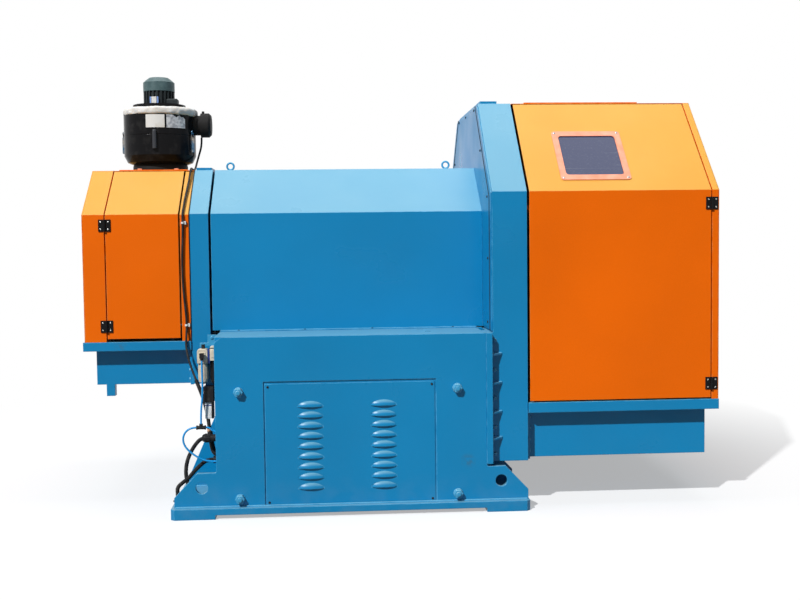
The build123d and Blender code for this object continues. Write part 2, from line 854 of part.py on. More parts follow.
def regulator(x, top_z):
    """Filter regulator: square head with a knob on top and a round bowl below."""
    width, depth = regulator_size
    bowl_top = top_z - regulator_head_height
    y = (service_y - depth / 2, service_y + depth / 2)
    head = box((x - width / 2, x + width / 2), y, (bowl_top, top_z))
    head = fillet(head.edges().filter_by(Axis.Z), regulator_head_fillet)
    low = regulator_z[0]
    floor = [(0, low), (bowl_drain_radius, low), (bowl_radius, low + bowl_taper)]
    bowl = floor + [(bowl_radius, bowl_top), (0, bowl_top)]
    knob = rod((x, service_y, top_z), (x, service_y, top_z + knob_height), knob_radius)
    return head + turned(bowl, x, service_y) + knob


def air_service_set():
    """Two filter units side by side, the front one with the elbow for the air tube."""
    first = regulator(regulator_x, regulator_z[1])
    front = service_y - regulator_size[1] / 2
    x = regulator_x + elbow_offset
    first += rod((x, front, elbow_z), (x, air_tube_y, elbow_z), elbow_stem_radius)
    elbow_y = (air_tube_y - elbow_half, air_tube_y + elbow_half)
    elbow_zs = (elbow_z - elbow_drop, elbow_z + elbow_rise)
    elbow = box((x - elbow_half, x + elbow_half), elbow_y, elbow_zs)
    first += fillet(elbow.faces().sort_by(Axis.Z)[-1].edges(), elbow_rise / 2)
    second = regulator(regulator_x + regulator_size[0] + seat, regulator_z[1] - second_unit_drop)
    return first + second


def solenoid_valve():
    """Black valve block over a slotted body."""
    depth = regulator_size[1]
    y = (service_y - depth / 2, service_y + depth / 2)
    block = box(valve_x, y, valve_z)
    low = valve_z[0] - valve_body_height
    body_x = (valve_x[0] + valve_body_inset, valve_x[1] - valve_body_inset)
    body = box(body_x, (y[0] + valve_body_inset, y[1]), (low, valve_z[0]))
    slot_x = (body_x[0] + valve_slot_height, body_x[1] - valve_slot_height)
    for row in range(valve_slot_count):
        z = low + (row + 1) * valve_slot_pitch
        slot_y = (y[0], y[0] + valve_body_inset + valve_slot_depth)
        body -= box(slot_x, slot_y, (z, z + valve_slot_height))
    return block + body


def tube_tee():
    """Push-in tee in the blue air tube."""
    x, z = tee_x, tee_z
    body = rod((x - tee_arm, air_tube_y, z), (x + tee_arm, air_tube_y, z), tee_radius)
    body += rod((x, air_tube_y, z), (x, air_tube_y, z + tee_arm), tee_radius)
    for side in (-1, 1):
        start = (x + side * (tee_arm - 1), air_tube_y, z)
        body += rod(start, (x + side * (tee_arm - 1 + tee_ring_length), air_tube_y, z), tee_ring_radius)
    return body


def arc_radii(points):
    """Largest tangent arc for each corner of a cord's route, from its two runs and its turn."""
    radii = []
    for before, here, after in zip(points, points[1:], points[2:]):
        run_in = Vector(*here) - Vector(*before)
        run_out = Vector(*after) - Vector(*here)
        turn = radians(run_in.get_angle(run_out))
        radii.append(0.45 * min(run_in.length, run_out.length) / tan(turn / 2))
    return radii


def cord(points, diameter):
    """Round cord of straight runs joined by tangent arcs."""
    radii = arc_radii(points)
    path = FilletPolyline(*points, radius=radii)
    section = Plane(origin=path @ 0, z_dir=path % 0) * Circle(diameter / 2)
    solid = sweep(section, path=path)
    print("cord", round(path.length), "smallest radius", round(min(radii), 1))
    expected = pi * diameter ** 2 / 4 * path.length
    print("  volume ratio", round(solid.volume / expected, 4))
    return solid


air_tube_y = -742
tee_x = -597
tee_z = 352
tie_x = (-683, -676)
tie_z = (1171, 744)
tie_y = -498

power_cable_route = [
    (-651, 0, 1568),
    (-651, 0, 1533),
    (-661, -10, 1494),
    (-670, -30, 1456),
    (-673, -66, 1426),
    (-674, -112, 1412),
    (-674, -162, 1411),
    (-674, -208, 1414),
    (-673, -254, 1411),
    (-673, -295, 1378),
    (-675, -335, 1341),
    (-678, -379, 1306),
    (-681, -421, 1271),
    (-682, -462, 1237.5),
    (-683, -493.5, 1211.5),
    (tie_x[0], tie_y, tie_z[0] + 22),
    (tie_x[0], tie_y, tie_z[0] - 20),
    (-685, -497, 1098),
    (-688, -498, 1038),
    (-689, -497, 974),
    (-687, -498, 912),
    (-683, -497, 852),
    (-678, -498, 800),
    (tie_x[1], tie_y, tie_z[1] + 18),
    (tie_x[1], tie_y, tie_z[1] - 18),
    (-677, -508, 692),
    (-678, -514, 660),
    (-672, -522, 620),
    (-657, -540, 574),
    (-636, -574, 530),
    (-613, -606, 484),
    (-595, -620, 436),
    (-583, -620, 380),
    (-577, -614, 320),
    (-571, -608, 262),
    (-561, -604, 216),
    (base_left_x, -604, 216),
]

air_down_route = [
    (-589, air_tube_y, 624),
    (-589, air_tube_y, 576),
    (-588, air_tube_y, 524),
    (-590, air_tube_y, 468),
    (tee_x, air_tube_y, 414),
    (tee_x, air_tube_y, tee_z + tee_arm),
]

air_loop_route = [
    (tee_x - 19, air_tube_y, tee_z),
    (-638, air_tube_y, tee_z),
    (-662, air_tube_y, 334),
    (-671, air_tube_y, 308),
    (-665, air_tube_y, 281),
    (-646, air_tube_y, 257),
    (-616, air_tube_y + 4, 233),
    (-578, air_tube_y + 12, 212),
    (base_left_x, air_tube_y + 12, 212),
]

air_short_route = [
    (tee_x + 19, air_tube_y, tee_z),
    (-564, air_tube_y, tee_z),
    (-549, air_tube_y + 4, 334),
    (base_left_x, air_tube_y + 4, 334),
]

upper_hose_route = [
    (-585, -650, 293),
    (-608, -650, 293),
    (-632, -651, 268),
    (-652, -652, 236),
    (-667, -653, 200),
    (-673, -652, 162),
    (-671, -650, 124),
    (-660, -646, 92),
    (-660, -646, 60),
]

lower_hose_route = [
    (-556, -690, 212),
    (-580, -690, 212),
    (-608, -694, 192),
    (-634, -697, 166),
    (-658, -699, 138),
    (-684, -698, 120),
    (-703, -694, 101),
    (-703, -686, 76),
    (-703, -686, 58),
]


def air_tubes():
    """Supply tube down to the tee, the loop back to the base and the short branch."""
    tubes = [cord(route, air_tube_diameter) for route in (air_down_route, air_loop_route, air_short_route)]
    return Compound(tubes)


def hoses():
    return Compound([cord(route, hose_diameter) for route in (upper_hose_route, lower_hose_route)])


def hose_glands():
    """Screwed glands where the hoses leave the end wall and enter the floor plate."""
    low = floor_plate_top_z
    upper = upper_hose_route[0]
    lower = lower_hose_route[0]
    glands = [
        rod((base_left_x, upper[1], upper[2]), (upper[0], upper[1], upper[2]), gland_radius),
        rod((base_left_x, lower[1], lower[2]), (lower[0], lower[1], lower[2]), gland_radius),
    ]
    for route in (upper_hose_route, lower_hose_route):
        x, y, z = route[-1]
        glands.append(rod((x, y, low), (x, y, z), floor_gland_radius))
    return Compound(glands)


def cable_ties():
    """Tie mounts on the fixed strip of the left hood, each with its band round the power cable."""
    ties = []
    face_y = -(small.half_depth - lap_recess)
    for x, z in zip(tie_x, tie_z):
        radius = power_cable_diameter / 2 + seat
        half_band = tie_band_height / 2
        half_pad = tie_pad_height / 2
        band = rod((x, tie_y, z - half_band), (x, tie_y, z + half_band), radius + tie_band_thickness)
        pad = box((x - tie_pad_reach[0], x + tie_pad_reach[1]), (tie_y, face_y), (z - half_pad, z + half_pad))
        hole = rod((x, tie_y, z - tie_pad_height), (x, tie_y, z + tie_pad_height), radius)
        ties.append(band + pad - hole)
    return Compound(ties)


def right_post():
    """Fixed strip of the large hood beside its door."""
    x = (right_hinge_x + hinge_side_gap / 2, right_skin_x[1])
    post = large.folded_panel(x, right_shelf_top_z, 0, sheet)
    return post + hinged_edge(large, (x[0], x[0] + sheet), right_shelf_top_z)


def hood_posts():
    """Fixed strips of the left hood beside the door; the inner one is set back under its edge."""
    outer_x = (left_hood_x[0] + sheet, left_hinge_x - hinge_side_gap / 2)
    outer = small.folded_panel(outer_x, left_shelf_top_z, 0, sheet)
    outer += hinged_edge(small, (outer_x[1] - sheet, outer_x[1]), left_shelf_top_z)
    inner_x = (left_door_free_x + running_gap + 1, left_hood_x[1])
    inner = small.folded_panel(inner_x, left_shelf_top_z, lap_recess, sheet)
    return outer + inner


right_skin_x = (right_hood_x[0], right_hood_x[1] - sheet)
left_skin_x = (left_hood_x[0] + sheet, left_hood_x[1])
right_hinges = [hinge(large, right_hinge_x, z, -1) for z in right_hinge_zs]
left_hinges = [hinge(small, left_hinge_x, z, 1) for z in left_hinge_zs]
front_wall = side_wall()
front_panel = access_panel()
right_frame_z = (right_frame_bottom_z, right_shelf_top_z - right_shelf_height)

nodes = {
    "base_floor_plate": floor_plate(),
    "base_front_wall": front_wall,
    "base_back_wall": mirror(front_wall, Plane.XZ),
    "base_left_wall": left_end_wall(),
    "base_right_wall": right_end_wall(),
    "base_deck": deck(),
    "base_gussets": base_gussets(),
    "access_panels": mirrored(front_panel),
    "base_tie_bolts": tie_bolts(),
    "left_portal": left_portal(),
    "right_portal": right_portal(),
    "right_portal_cover": portal_cover(),
    "portal_ribs": portal_ribs(),
    "left_spindle_nose": spindle_nose(left_portal_x[0], -1),
    "right_spindle_nose": spindle_nose(right_portal_x[1], 1),
    "central_hood": central_hood(),
    "eye_bolts": eye_bolts(),
    "right_hood_end_wall": end_wall(large, (right_skin_x[1], right_hood_x[1]), right_shelf_top_z),
    "right_hood_roof": right_roof(),
    "right_hood_back": back_panel(large, right_skin_x, right_shelf_top_z),
    "right_hood_post": right_post(),
    "right_door": right_door(),
    "window_frame": window_frame(),
    "window_pane": window_pane(),
    "left_hood_end_wall": end_wall(small, (left_hood_x[0], left_skin_x[0]), left_shelf_top_z),
    "left_hood_roof": roof_sheet(small, left_skin_x),
    "left_hood_back": back_panel(small, left_skin_x, left_shelf_top_z),
    "left_hood_posts": hood_posts(),
    "left_door": left_door(),
    "fixed_hinge_leaves": Compound([fixed for fixed, moving in right_hinges + left_hinges]),
    "right_door_hinge_leaves": Compound([moving for fixed, moving in right_hinges]),
    "left_door_hinge_leaves": Compound([moving for fixed, moving in left_hinges]),
    "right_shelf": shelf(large, right_shelf_x, right_shelf_top_z, right_shelf_height),
    "right_under_frame": under_frame(large, right_portal_x[1], right_frame_end_x, right_frame_z),
    "left_shelf": shelf(small, left_shelf_x, left_shelf_top_z, left_shelf_height),
    "left_under_frame": left_under_frame(),
    "vacuum_mount": vacuum_mount(),
    "vacuum_drum": vacuum_drum(),
    "drum_latches": drum_latches(),
    "drum_handle": drum_handle(),
    "drum_collar": drum_collar(),
    "motor_body": motor_body(),
    "motor_cowl": motor_cowl(),
    "motor_terminal_box": terminal_box(),
    "vacuum_inlet_box": inlet_box(),
    "service_bracket": service_bracket(),
    "air_service_set": air_service_set(),
    "solenoid_valve": solenoid_valve(),
    "tube_tee": tube_tee(),
    "air_tubes": air_tubes(),
    "power_cable": cord(power_cable_route, power_cable_diameter),
    "cable_hoses": hoses(),
    "hose_glands": hose_glands(),
    "cable_ties": cable_ties(),
}

for name, shape in nodes.items():
    export_step(shape, f"parts/{name}.step")
    print(name, len(shape.solids()), round(shape.volume / 1e6, 2))
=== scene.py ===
from math import copysign, cos, floor, pi, radians, sin, tau

import bmesh
import bpy
from mathutils import Matrix, Vector, noise


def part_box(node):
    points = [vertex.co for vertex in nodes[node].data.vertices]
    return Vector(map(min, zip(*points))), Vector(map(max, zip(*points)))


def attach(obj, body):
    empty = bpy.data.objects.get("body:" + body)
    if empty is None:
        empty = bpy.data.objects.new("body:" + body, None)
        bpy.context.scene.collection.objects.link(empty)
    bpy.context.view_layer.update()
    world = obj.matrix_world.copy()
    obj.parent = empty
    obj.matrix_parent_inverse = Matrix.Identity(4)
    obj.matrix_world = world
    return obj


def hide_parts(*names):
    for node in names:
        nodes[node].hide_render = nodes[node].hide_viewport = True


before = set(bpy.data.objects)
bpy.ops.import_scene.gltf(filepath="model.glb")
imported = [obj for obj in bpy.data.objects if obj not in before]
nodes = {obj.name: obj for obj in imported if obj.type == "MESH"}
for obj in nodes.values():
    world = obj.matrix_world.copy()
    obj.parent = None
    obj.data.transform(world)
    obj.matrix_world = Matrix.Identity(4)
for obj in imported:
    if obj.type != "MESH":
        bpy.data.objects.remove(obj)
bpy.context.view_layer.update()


# The camera stands in front of the machine and a little to its left, at about the height
# of the machine axis. It is turned to the right, tipped down slightly and rolled a touch.
def placed(name, data):
    """Adds an object that holds the data to the scene."""
    thing = bpy.data.objects.new(name, data)
    bpy.context.scene.collection.objects.link(thing)
    return thing


camera_place = Vector((-0.091, -5.158, 1.099))
camera_yaw, camera_pitch, camera_roll = radians(3.82), radians(3.23), radians(-0.67)
photo_width, focal_pixels = 800, 1105
level = Vector((cos(camera_yaw), -sin(camera_yaw), 0))
ahead = Vector((sin(camera_yaw), cos(camera_yaw), 0))
forward = ahead * cos(camera_pitch) - Vector((0, 0, sin(camera_pitch)))
across = level * cos(camera_roll) + level.cross(forward) * sin(camera_roll)
camera_data = bpy.data.cameras.new("camera")
camera_data.sensor_width = 36
camera_data.lens = focal_pixels / photo_width * camera_data.sensor_width
camera = placed("camera", camera_data)
turn = Matrix((across, across.cross(forward), -forward)).transposed()
camera.matrix_world = Matrix.Translation(camera_place) @ turn.to_4x4()
bpy.context.scene.camera = camera
bpy.context.scene.view_settings.view_transform = "Standard"

# Daylight from the upper left, as the shadows under the trays show, with a broad soft light
# straight above that brightens the slopes, and a weak even light from all round.
sun_travel = Vector((0.45, 0.65, -0.68))
sun_data = bpy.data.lights.new("daylight", "SUN")
sun_data.energy = 3.95
sun_data.angle = radians(1.5)
placed("daylight", sun_data).rotation_euler = sun_travel.to_track_quat("-Z", "Y").to_euler()
overhead_data = bpy.data.lights.new("overhead", "AREA")
overhead_data.shape = "RECTANGLE"
overhead_data.size, overhead_data.size_y = 4.4, 2.6
overhead_data.energy = 82
placed("overhead", overhead_data).location = (0.2, 0.1, 4.6)


def feed(tree, socket, value):
    """Links a socket to another node's output, or sets its value; None leaves it alone."""
    if isinstance(value, bpy.types.NodeSocket):
        tree.links.new(value, socket)
    elif value is not None:
        socket.default_value = value


def add(tree, kind, *values, output=0, **named):
    """Adds a node and gives an output of it. Capitalised names are inputs, others settings."""
    node = tree.nodes.new("ShaderNode" + kind)
    for name, value in named.items():
        if name.islower():
            setattr(node, name, value)
        else:
            feed(tree, node.inputs[name.replace("_", " ")], value)
    for socket, value in zip(node.inputs, values):
        feed(tree, socket, value)
    return node.outputs[output]


def seen_and_unseen(tree, seen, unseen):
    """Mixes two shaders: the eye and its reflections meet one, scattered light the other."""
    path = tree.nodes.new("ShaderNodeLightPath")
    gathered = path.outputs["Is Camera Ray"]
    for ray in ("Is Glossy Ray", "Is Transmission Ray"):
        gathered = add(tree, "Math", gathered, path.outputs[ray], operation="MAXIMUM")
    return add(tree, "MixShader", gathered, unseen, seen)


world = bpy.data.worlds.new("white_surround")
world.use_nodes = True
bpy.context.scene.world = world
world_tree = world.node_tree
sky = world_tree.nodes["Background"]
sky.inputs["Color"].default_value = (0.68, 0.84, 1, 1)
sky.inputs["Strength"].default_value = 0.12
white = add(world_tree, "Background", Color=(1, 1, 1, 1))
surround = seen_and_unseen(world_tree, white, sky.outputs[0])
feed(world_tree, world_tree.nodes["World Output"].inputs["Surface"], surround)

# The pale floor keeps the shadow near the machine and runs out to plain white further off.
floor_half, floor_near, floor_far, floor_least = 40, 1.5, 3.2, 0.42
floor_form = bmesh.new()
bmesh.ops.create_grid(floor_form, x_segments=4, y_segments=4, size=floor_half)
floor_mesh = bpy.data.meshes.new("pale_floor")
floor_form.to_mesh(floor_mesh)
floor_form.free()
floor_finish = bpy.data.materials.new("pale_floor")
floor_finish.use_nodes = True
floor_tree = floor_finish.node_tree
floor_tree.nodes.remove(floor_tree.nodes["Principled BSDF"])
pale = add(floor_tree, "BsdfDiffuse", Color=(0.93, 0.93, 0.93, 1))
dull = add(floor_tree, "BsdfDiffuse", Color=(0.22, 0.22, 0.22, 1))
glow = add(floor_tree, "Emission")
floor_place = add(floor_tree, "TexCoord", output="Object")
reach = add(floor_tree, "VectorMath", floor_place, operation="LENGTH", output="Value")
fade = add(floor_tree, "MapRange", reach, floor_near, floor_far, floor_least)
floor_surface = seen_and_unseen(floor_tree, add(floor_tree, "MixShader", fade, pale, glow), dull)
feed(floor_tree, floor_tree.nodes["Material Output"].inputs["Surface"], floor_surface)
floor_mesh.materials.append(floor_finish)
placed("pale_floor", floor_mesh)


# Base weldment: thick steel plates welded to a floor plate on four foot pads. All of it is
# sprayed with one coat of sky blue machine enamel, a little uneven, paler where it faces up as
# a painted sheen, chipped along the edges with a painted highlight mixed into that wear, dusty
# low down, and with a dark smudge here and there.
def blended(tree, factor, first, second, mode="MIX"):
    """Colour mixed from two colours; each is a colour, or another node's output."""
    node = tree.nodes.new("ShaderNodeMix")
    node.data_type = "RGBA"
    node.blend_type = mode
    feed(tree, node.inputs[0], factor)
    for index, value in ((6, first), (7, second)):
        feed(tree, node.inputs[index], (*value, 1) if isinstance(value, tuple) else value)
    return node.outputs[2]


def product(tree, first, second):
    return add(tree, "Math", first, second, operation="MULTIPLY")


def spread(tree, value, low, high, to_low=0, to_high=1):
    """Stretches the range between low and high, and holds what lies past its ends."""
    return add(tree, "MapRange", value, low, high, to_low, to_high)


def machine_place(tree):
    return add(tree, "TexCoord", output="Object")


def speckle(tree, scale, detail=2, place=None):
    """Cloudy noise, fixed to the machine unless it is given a place of its own."""
    place = machine_place(tree) if place is None else place
    return add(tree, "TexNoise", Vector=place, Scale=scale, Detail=detail, output="Fac")


def patches(tree, scale, detail, low=0, high=1, to_low=0, to_high=1):
    """Speckle whose range between low and high is stretched out."""
    return spread(tree, speckle(tree, scale, detail), low, high, to_low, to_high)


def coat(material, **inputs):
    """Feeds the inputs of a material's shader."""
    tree = material.node_tree
    for name, value in inputs.items():
        feed(tree, tree.nodes["Principled BSDF"].inputs[name.replace("_", " ")], value)


def new_finish(name, roughness, metallic=0, shine=0.25):
    material = bpy.data.materials.new(name)
    material.use_nodes = True
    coat(material, Roughness=roughness, Metallic=metallic, Specular_IOR_Level=shine)
    return material, material.node_tree


def rounded_normal(tree, radius):
    """Surface direction with the sharp edges of folded or cut metal rounded off."""
    return add(tree, "Bevel", Radius=radius, samples=4)


def bumped(tree, height, strength, distance, normal=None):
    return add(tree, "Bump", Height=height, Strength=strength, Distance=distance, Normal=normal)


def machine_enamel(name, colour, sheen_colour, edge_wear_and_highlight_colour, stains, roughness=0.3, shine=0.25):
    """Sprayed paint; each stain is a centre, a reach, a colour and a depth."""
    dust_height, dust_depth, edge_radius, wear_and_highlight_depth = 0.16, 0.1, 0.004, 0.6
    material, tree = new_finish(name, roughness, shine=shine)
    cloud = patches(tree, 1.7, 3, 0.3, 0.7, 0.93, 1.07)
    grain = patches(tree, 420, 1, 0.3, 0.7, 0.965, 1.035)
    paint = blended(tree, 1, blended(tree, 1, colour, cloud, "MULTIPLY"), grain, "MULTIPLY")
    place = machine_place(tree)
    for centre, reach, stain_colour, depth in stains:
        away = add(tree, "VectorMath", place, centre, operation="DISTANCE", output="Value")
        spot = spread(tree, away, reach, reach * 0.15)
        mask = product(tree, spot, patches(tree, 60, 4, 0.42, 0.6))
        paint = blended(tree, product(tree, mask, depth), paint, stain_colour)
    low_down = spread(tree, add(tree, "SeparateXYZ", place, output="Z"), dust_height, 0)
    dusty = product(tree, low_down, patches(tree, 14, 5, 0.4, 0.75))
    paint = blended(tree, product(tree, dusty, dust_depth), paint, (0.34, 0.34, 0.32))
    flat = add(tree, "NewGeometry", output="Normal")
    # Painted sheen: where the surface faces up the colour turns paler, standing in for the bright sky's
    # gloss on the slopes.
    facing_up = spread(tree, add(tree, "SeparateXYZ", flat, output="Z"), 0.3, 0.6)
    painted_sheen = product(tree, facing_up, patches(tree, 3, 5, 0.3, 0.7, 0.86, 1))
    paint = blended(tree, painted_sheen, paint, sheen_colour)
    # Along the edges the paint turns lighter: partly chipped wear, partly a painted highlight on the
    # rounded folds.
    edge = rounded_normal(tree, edge_radius)
    agree = add(tree, "VectorMath", edge, flat, operation="DOT_PRODUCT", output="Value")
    wear_and_highlight_mask = product(tree, spread(tree, agree, 0.99, 0.9), patches(tree, 22, 4, 0.36, 0.56))
    paint = blended(tree, product(tree, wear_and_highlight_mask, wear_and_highlight_depth), paint, edge_wear_and_highlight_colour)
    rough = patches(tree, 5, 4, 0.3, 0.7, roughness - 0.04, roughness + 0.08)
    waves = bumped(tree, speckle(tree, 2.2, 1), 0.35, 0.004, edge)
    pores = bumped(tree, speckle(tree, 330), 0.16, 0.0005, waves)
    coat(material, Base_Color=paint, Roughness=rough, Normal=pores)
    return material


def dress(material, *names):
    for name in names:
        nodes[name].data.materials.clear()
        nodes[name].data.materials.append(material)


# The paler blue is a painted sheen for the faces that look up; the lightest one is edge wear with a
# painted highlight.
blue_paint, blue_sheen, blue_wear_and_highlight = (0.002, 0.2, 0.425), (0.13, 0.345, 0.48), (0.16, 0.56, 0.85)
smudge = (0.05, 0.1, 0.12)
smudges = [((0.467, -0.8, 0.204), 0.035, smudge, 0.5), ((-0.95, -0.5, 0.662), 0.03, smudge, 0.5)]
blue_enamel = machine_enamel("blue_enamel", blue_paint, blue_sheen, blue_wear_and_highlight, smudges)
dress(blue_enamel, "base_floor_plate", "base_front_wall", "base_back_wall", "base_left_wall")
dress(blue_enamel, "base_right_wall", "base_deck", "base_gussets", "portal_ribs", "service_bracket")


def aim(point, outward):
    """Frame at a point of the machine with its Z pointing outward."""
    turned_to = Vector(outward).to_track_quat("Z", "Y").to_matrix().to_4x4()
    return Matrix.Translation(Vector(point)) @ turned_to


def piece(name, form, finish, body="machine", bevel=0.0, sharp=35, replaces=()):
    """Turns a bmesh into a piece of the machine that rides on a body."""
    bmesh.ops.recalc_face_normals(form, faces=form.faces)
    mesh = bpy.data.meshes.new(name)
    form.to_mesh(mesh)
    form.free()
    mesh.materials.append(finish)
    mesh.shade_smooth()
    mesh.set_sharp_from_angle(angle=radians(sharp))
    thing = placed(name, mesh)
    if bevel:
        rounding = thing.modifiers.new("rounded_edges", "BEVEL")
        rounding.width = bevel
        rounding.segments = 3
        rounding.limit_method = "ANGLE"
        rounding.angle_limit = radians(sharp)
    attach(thing, body)
    if replaces:
        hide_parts(*replaces)
    return thing


def skin(form, rings, closed=False):
    """Joins rings of corners, a tip being a ring of one, and caps both ends unless closed."""
    for low, high in zip(rings, rings[1:] + (rings[:1] if closed else [])):
        count = max(len(low), len(high))
        for k in range(count):
            around = ((low, k), (low, k + 1), (high, k + 1), (high, k))
            form.faces.new(list(dict.fromkeys(ring[place % len(ring)] for ring, place in around)))
    if not closed:
        for cap in (rings[0], rings[-1]):
            if len(cap) > 1:
                form.faces.new(cap)


def sleeve(form, points, radii, sides, closed=False):
    """Tube along points, with one radius or one for each, as for weld beads, cords and wire."""
    if not isinstance(radii, list):
        radii = [radii] * len(points)
    rings = []
    outward = None
    count = len(points)
    angles = [tau * k / sides for k in range(sides)]
    for index, (point, radius) in enumerate(zip(points, radii)):
        before = points[index - 1] if index or closed else point
        after = points[(index + 1) % count] if index + 1 < count or closed else point
        along = (after - before).normalized()
        outward = along.orthogonal() if outward is None else outward
        outward = (outward - along * outward.dot(along)).normalized()
        sideways = along.cross(outward)
        spokes = [(outward * cos(a) + sideways * sin(a)) * radius for a in angles]
        rings.append([form.verts.new(point + spoke) for spoke in spokes])
    skin(form, rings, closed)


ripple_pitch = 0.007


def weld_bead(form, start, end, radius=0.0055):
    """Ridge of weld along a straight joint, with its ripples."""
    start, end = Vector(start), Vector(end)
    count = max(4, 2 * round((end - start).length / ripple_pitch))
    points = [start.lerp(end, k / count) for k in range(count + 1)]
    sleeve(form, points, [radius * (1.0 if k % 2 else 0.8) for k in range(count + 1)], sides=7)


front_low, front_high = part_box("base_front_wall")
gusset_low, gusset_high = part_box("base_gussets")
plate_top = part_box("base_floor_plate")[1].z
end_wall_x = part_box("base_left_wall")[0].x
front_face = abs(front_low.y)
gusset_thickness, left_weld_x, right_weld_x = 0.016, -0.54, 0.57
# Each bead stops a little short of the ends of its joint.
front_gap, gusset_gap, top_gap = 0.004, 0.01, 0.006
welds = bmesh.new()
for side in (-1, 1):
    front_xs = (front_low.x + front_gap, front_high.x - front_gap)
    weld_bead(welds, *[(x, side * front_face, plate_top) for x in front_xs])
    gusset_y = side * (abs(gusset_low.y) - gusset_thickness)
    for y in (gusset_y, gusset_y + side * gusset_thickness):
        weld_bead(welds, (gusset_low.x + gusset_gap, y, plate_top), (left_weld_x, y, plate_top))
        corner = [(end_wall_x, y, z) for z in (plate_top + gusset_gap, gusset_high.z - top_gap)]
        weld_bead(welds, *corner)
        weld_bead(welds, (right_weld_x, y, plate_top), (gusset_high.x - gusset_gap, y, plate_top))
piece("base_welds", welds, blue_enamel)

# Access panels: louvred sheet covers in a rebate of the front and back walls, each held by
# four black button-head screws at its corners.
dress(blue_enamel, "access_panels")


def turned(form, profile, place, steps=24):
    """Adds a form turned about Z from (radius, height) points, then set in place."""
    rings = []
    for radius, height in profile:
        angles = [tau * k / steps for k in range(steps if radius else 1)]
        points = [Vector((radius * cos(a), radius * sin(a), height)) for a in angles]
        rings.append([form.verts.new(place @ point) for point in points])
    skin(form, rings)


def button_screw(form, point, outward, radius, height):
    """Button head with a round-bottomed socket."""
    socket, sunk = radius * 0.42, -0.0002
    profile = [(0, sunk), (radius, sunk), (radius, height * 0.35), (radius * 0.82, height * 0.8)]
    profile += [(socket * 1.2, height), (socket, height * 0.95), (socket * 0.9, height * 0.4)]
    turned(form, [*profile, (0, height * 0.3)], aim(point, outward), steps=18)


def mottled(name, first, second, tone, roughness, metallic=0, shine=0.25, grain=None, edge=None):
    """Finish of two colours in patches, with a grain and rounded edges where it has them."""
    material, tree = new_finish(name, roughness, metallic, shine)
    normal = rounded_normal(tree, edge) if edge else None
    if grain:
        scale, detail, strength, distance = grain
        normal = bumped(tree, speckle(tree, scale, detail), strength, distance, normal)
    coat(material, Base_Color=blended(tree, patches(tree, *tone), first, second), Normal=normal)
    return material


screw_black = mottled(
    "black_oxide_screws", (0.008, 0.008, 0.009), (0.03, 0.028, 0.026), (300, 2, 0.3, 0.7), 0.45, shine=0.12
)
panel_low, panel_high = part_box("access_panels")
panel_face = front_face - 0.002
screw_inset = 0.012
panel_screws = bmesh.new()
for side in (-1, 1):
    for x in (panel_low.x + screw_inset, panel_high.x - screw_inset):
        for z in (panel_low.z + screw_inset, panel_high.z - screw_inset):
            point = (x, side * panel_face, z)
            button_screw(panel_screws, point, (0, side, 0), radius=0.0048, height=0.0028)
piece("panel_screws", panel_screws, screw_black)

# Tie bolts: the ends of four studs through each wall, with a washer, a chamfered hexagon nut
# and the stud's thread standing out of it, all painted over with the base. Their enamel is a
# lighter copy of the base's blue, a painted highlight.
highlighted_fastener_enamel = machine_enamel(
    "fastener_enamel_painted_highlight", (0.035, 0.28, 0.5), (0.15, 0.4, 0.54), (0.3, 0.62, 0.8), [], roughness=0.25
)


def hexagon(form, place, flats, height, chamfer):
    """Hexagon head or nut with its top corners turned off."""
    corner = flats / 3 ** 0.5
    profile = [(corner, 0), (corner, height - chamfer), (flats / 2 * 0.97, height), (0, height)]
    turned(form, profile, place, steps=6)


tie_xs, tie_zs = (-0.443, 0.425), (0.073, 0.498)
nut_flats, nut_height, nut_chamfer = 0.034, 0.019, 0.0022
washer_radius, washer_height, washer_chamfer = 0.0195, 0.003, 0.0006
stud_radius, thread_pitch, thread_depth, stud_chamfer = 0.0095, 0.0025, 0.0011, 0.002
stud_end = -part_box("base_tie_bolts")[0].y - front_face
washer = [(0, 0), (washer_radius, 0), (washer_radius, washer_height - washer_chamfer)]
washer += [(washer_radius - washer_chamfer, washer_height), (0, washer_height)]
crest = washer_height + nut_height - 0.001
thread = [(0, crest)]
while crest < stud_end - thread_pitch:
    thread += [(stud_radius, crest), (stud_radius - thread_depth, crest + thread_pitch / 2)]
    crest += thread_pitch
thread += [(stud_radius, crest), (stud_radius - stud_chamfer, stud_end), (0, stud_end)]
tie_bolts = bmesh.new()
for side in (-1, 1):
    for x in tie_xs:
        for z in tie_zs:
            seat = aim((x, side * front_face, z), (0, side, 0))
            turned(tie_bolts, washer, seat)
            nut_seat = seat @ Matrix.Translation((0, 0, washer_height))
            hexagon(tie_bolts, nut_seat, nut_flats, nut_height, nut_chamfer)
            turned(tie_bolts, thread, seat, steps=20)
piece("tie_bolts", tie_bolts, highlighted_fastener_enamel, replaces=["base_tie_bolts"], sharp=30)

# Portals: two closed octagonal housings that carry the drive cover and the guard hoods. The
# wide one hangs on the base's end strip by ribs and hexagon bolts, and its upper left face
# has a sheet cover on a black sealing strip, held by black screws.
dress(blue_enamel, "left_portal", "right_portal", "right_portal_cover")
cover_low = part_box("right_portal_cover")[0]
portal_face = abs(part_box("right_portal")[0].y)
rib_low, rib_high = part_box("portal_ribs")
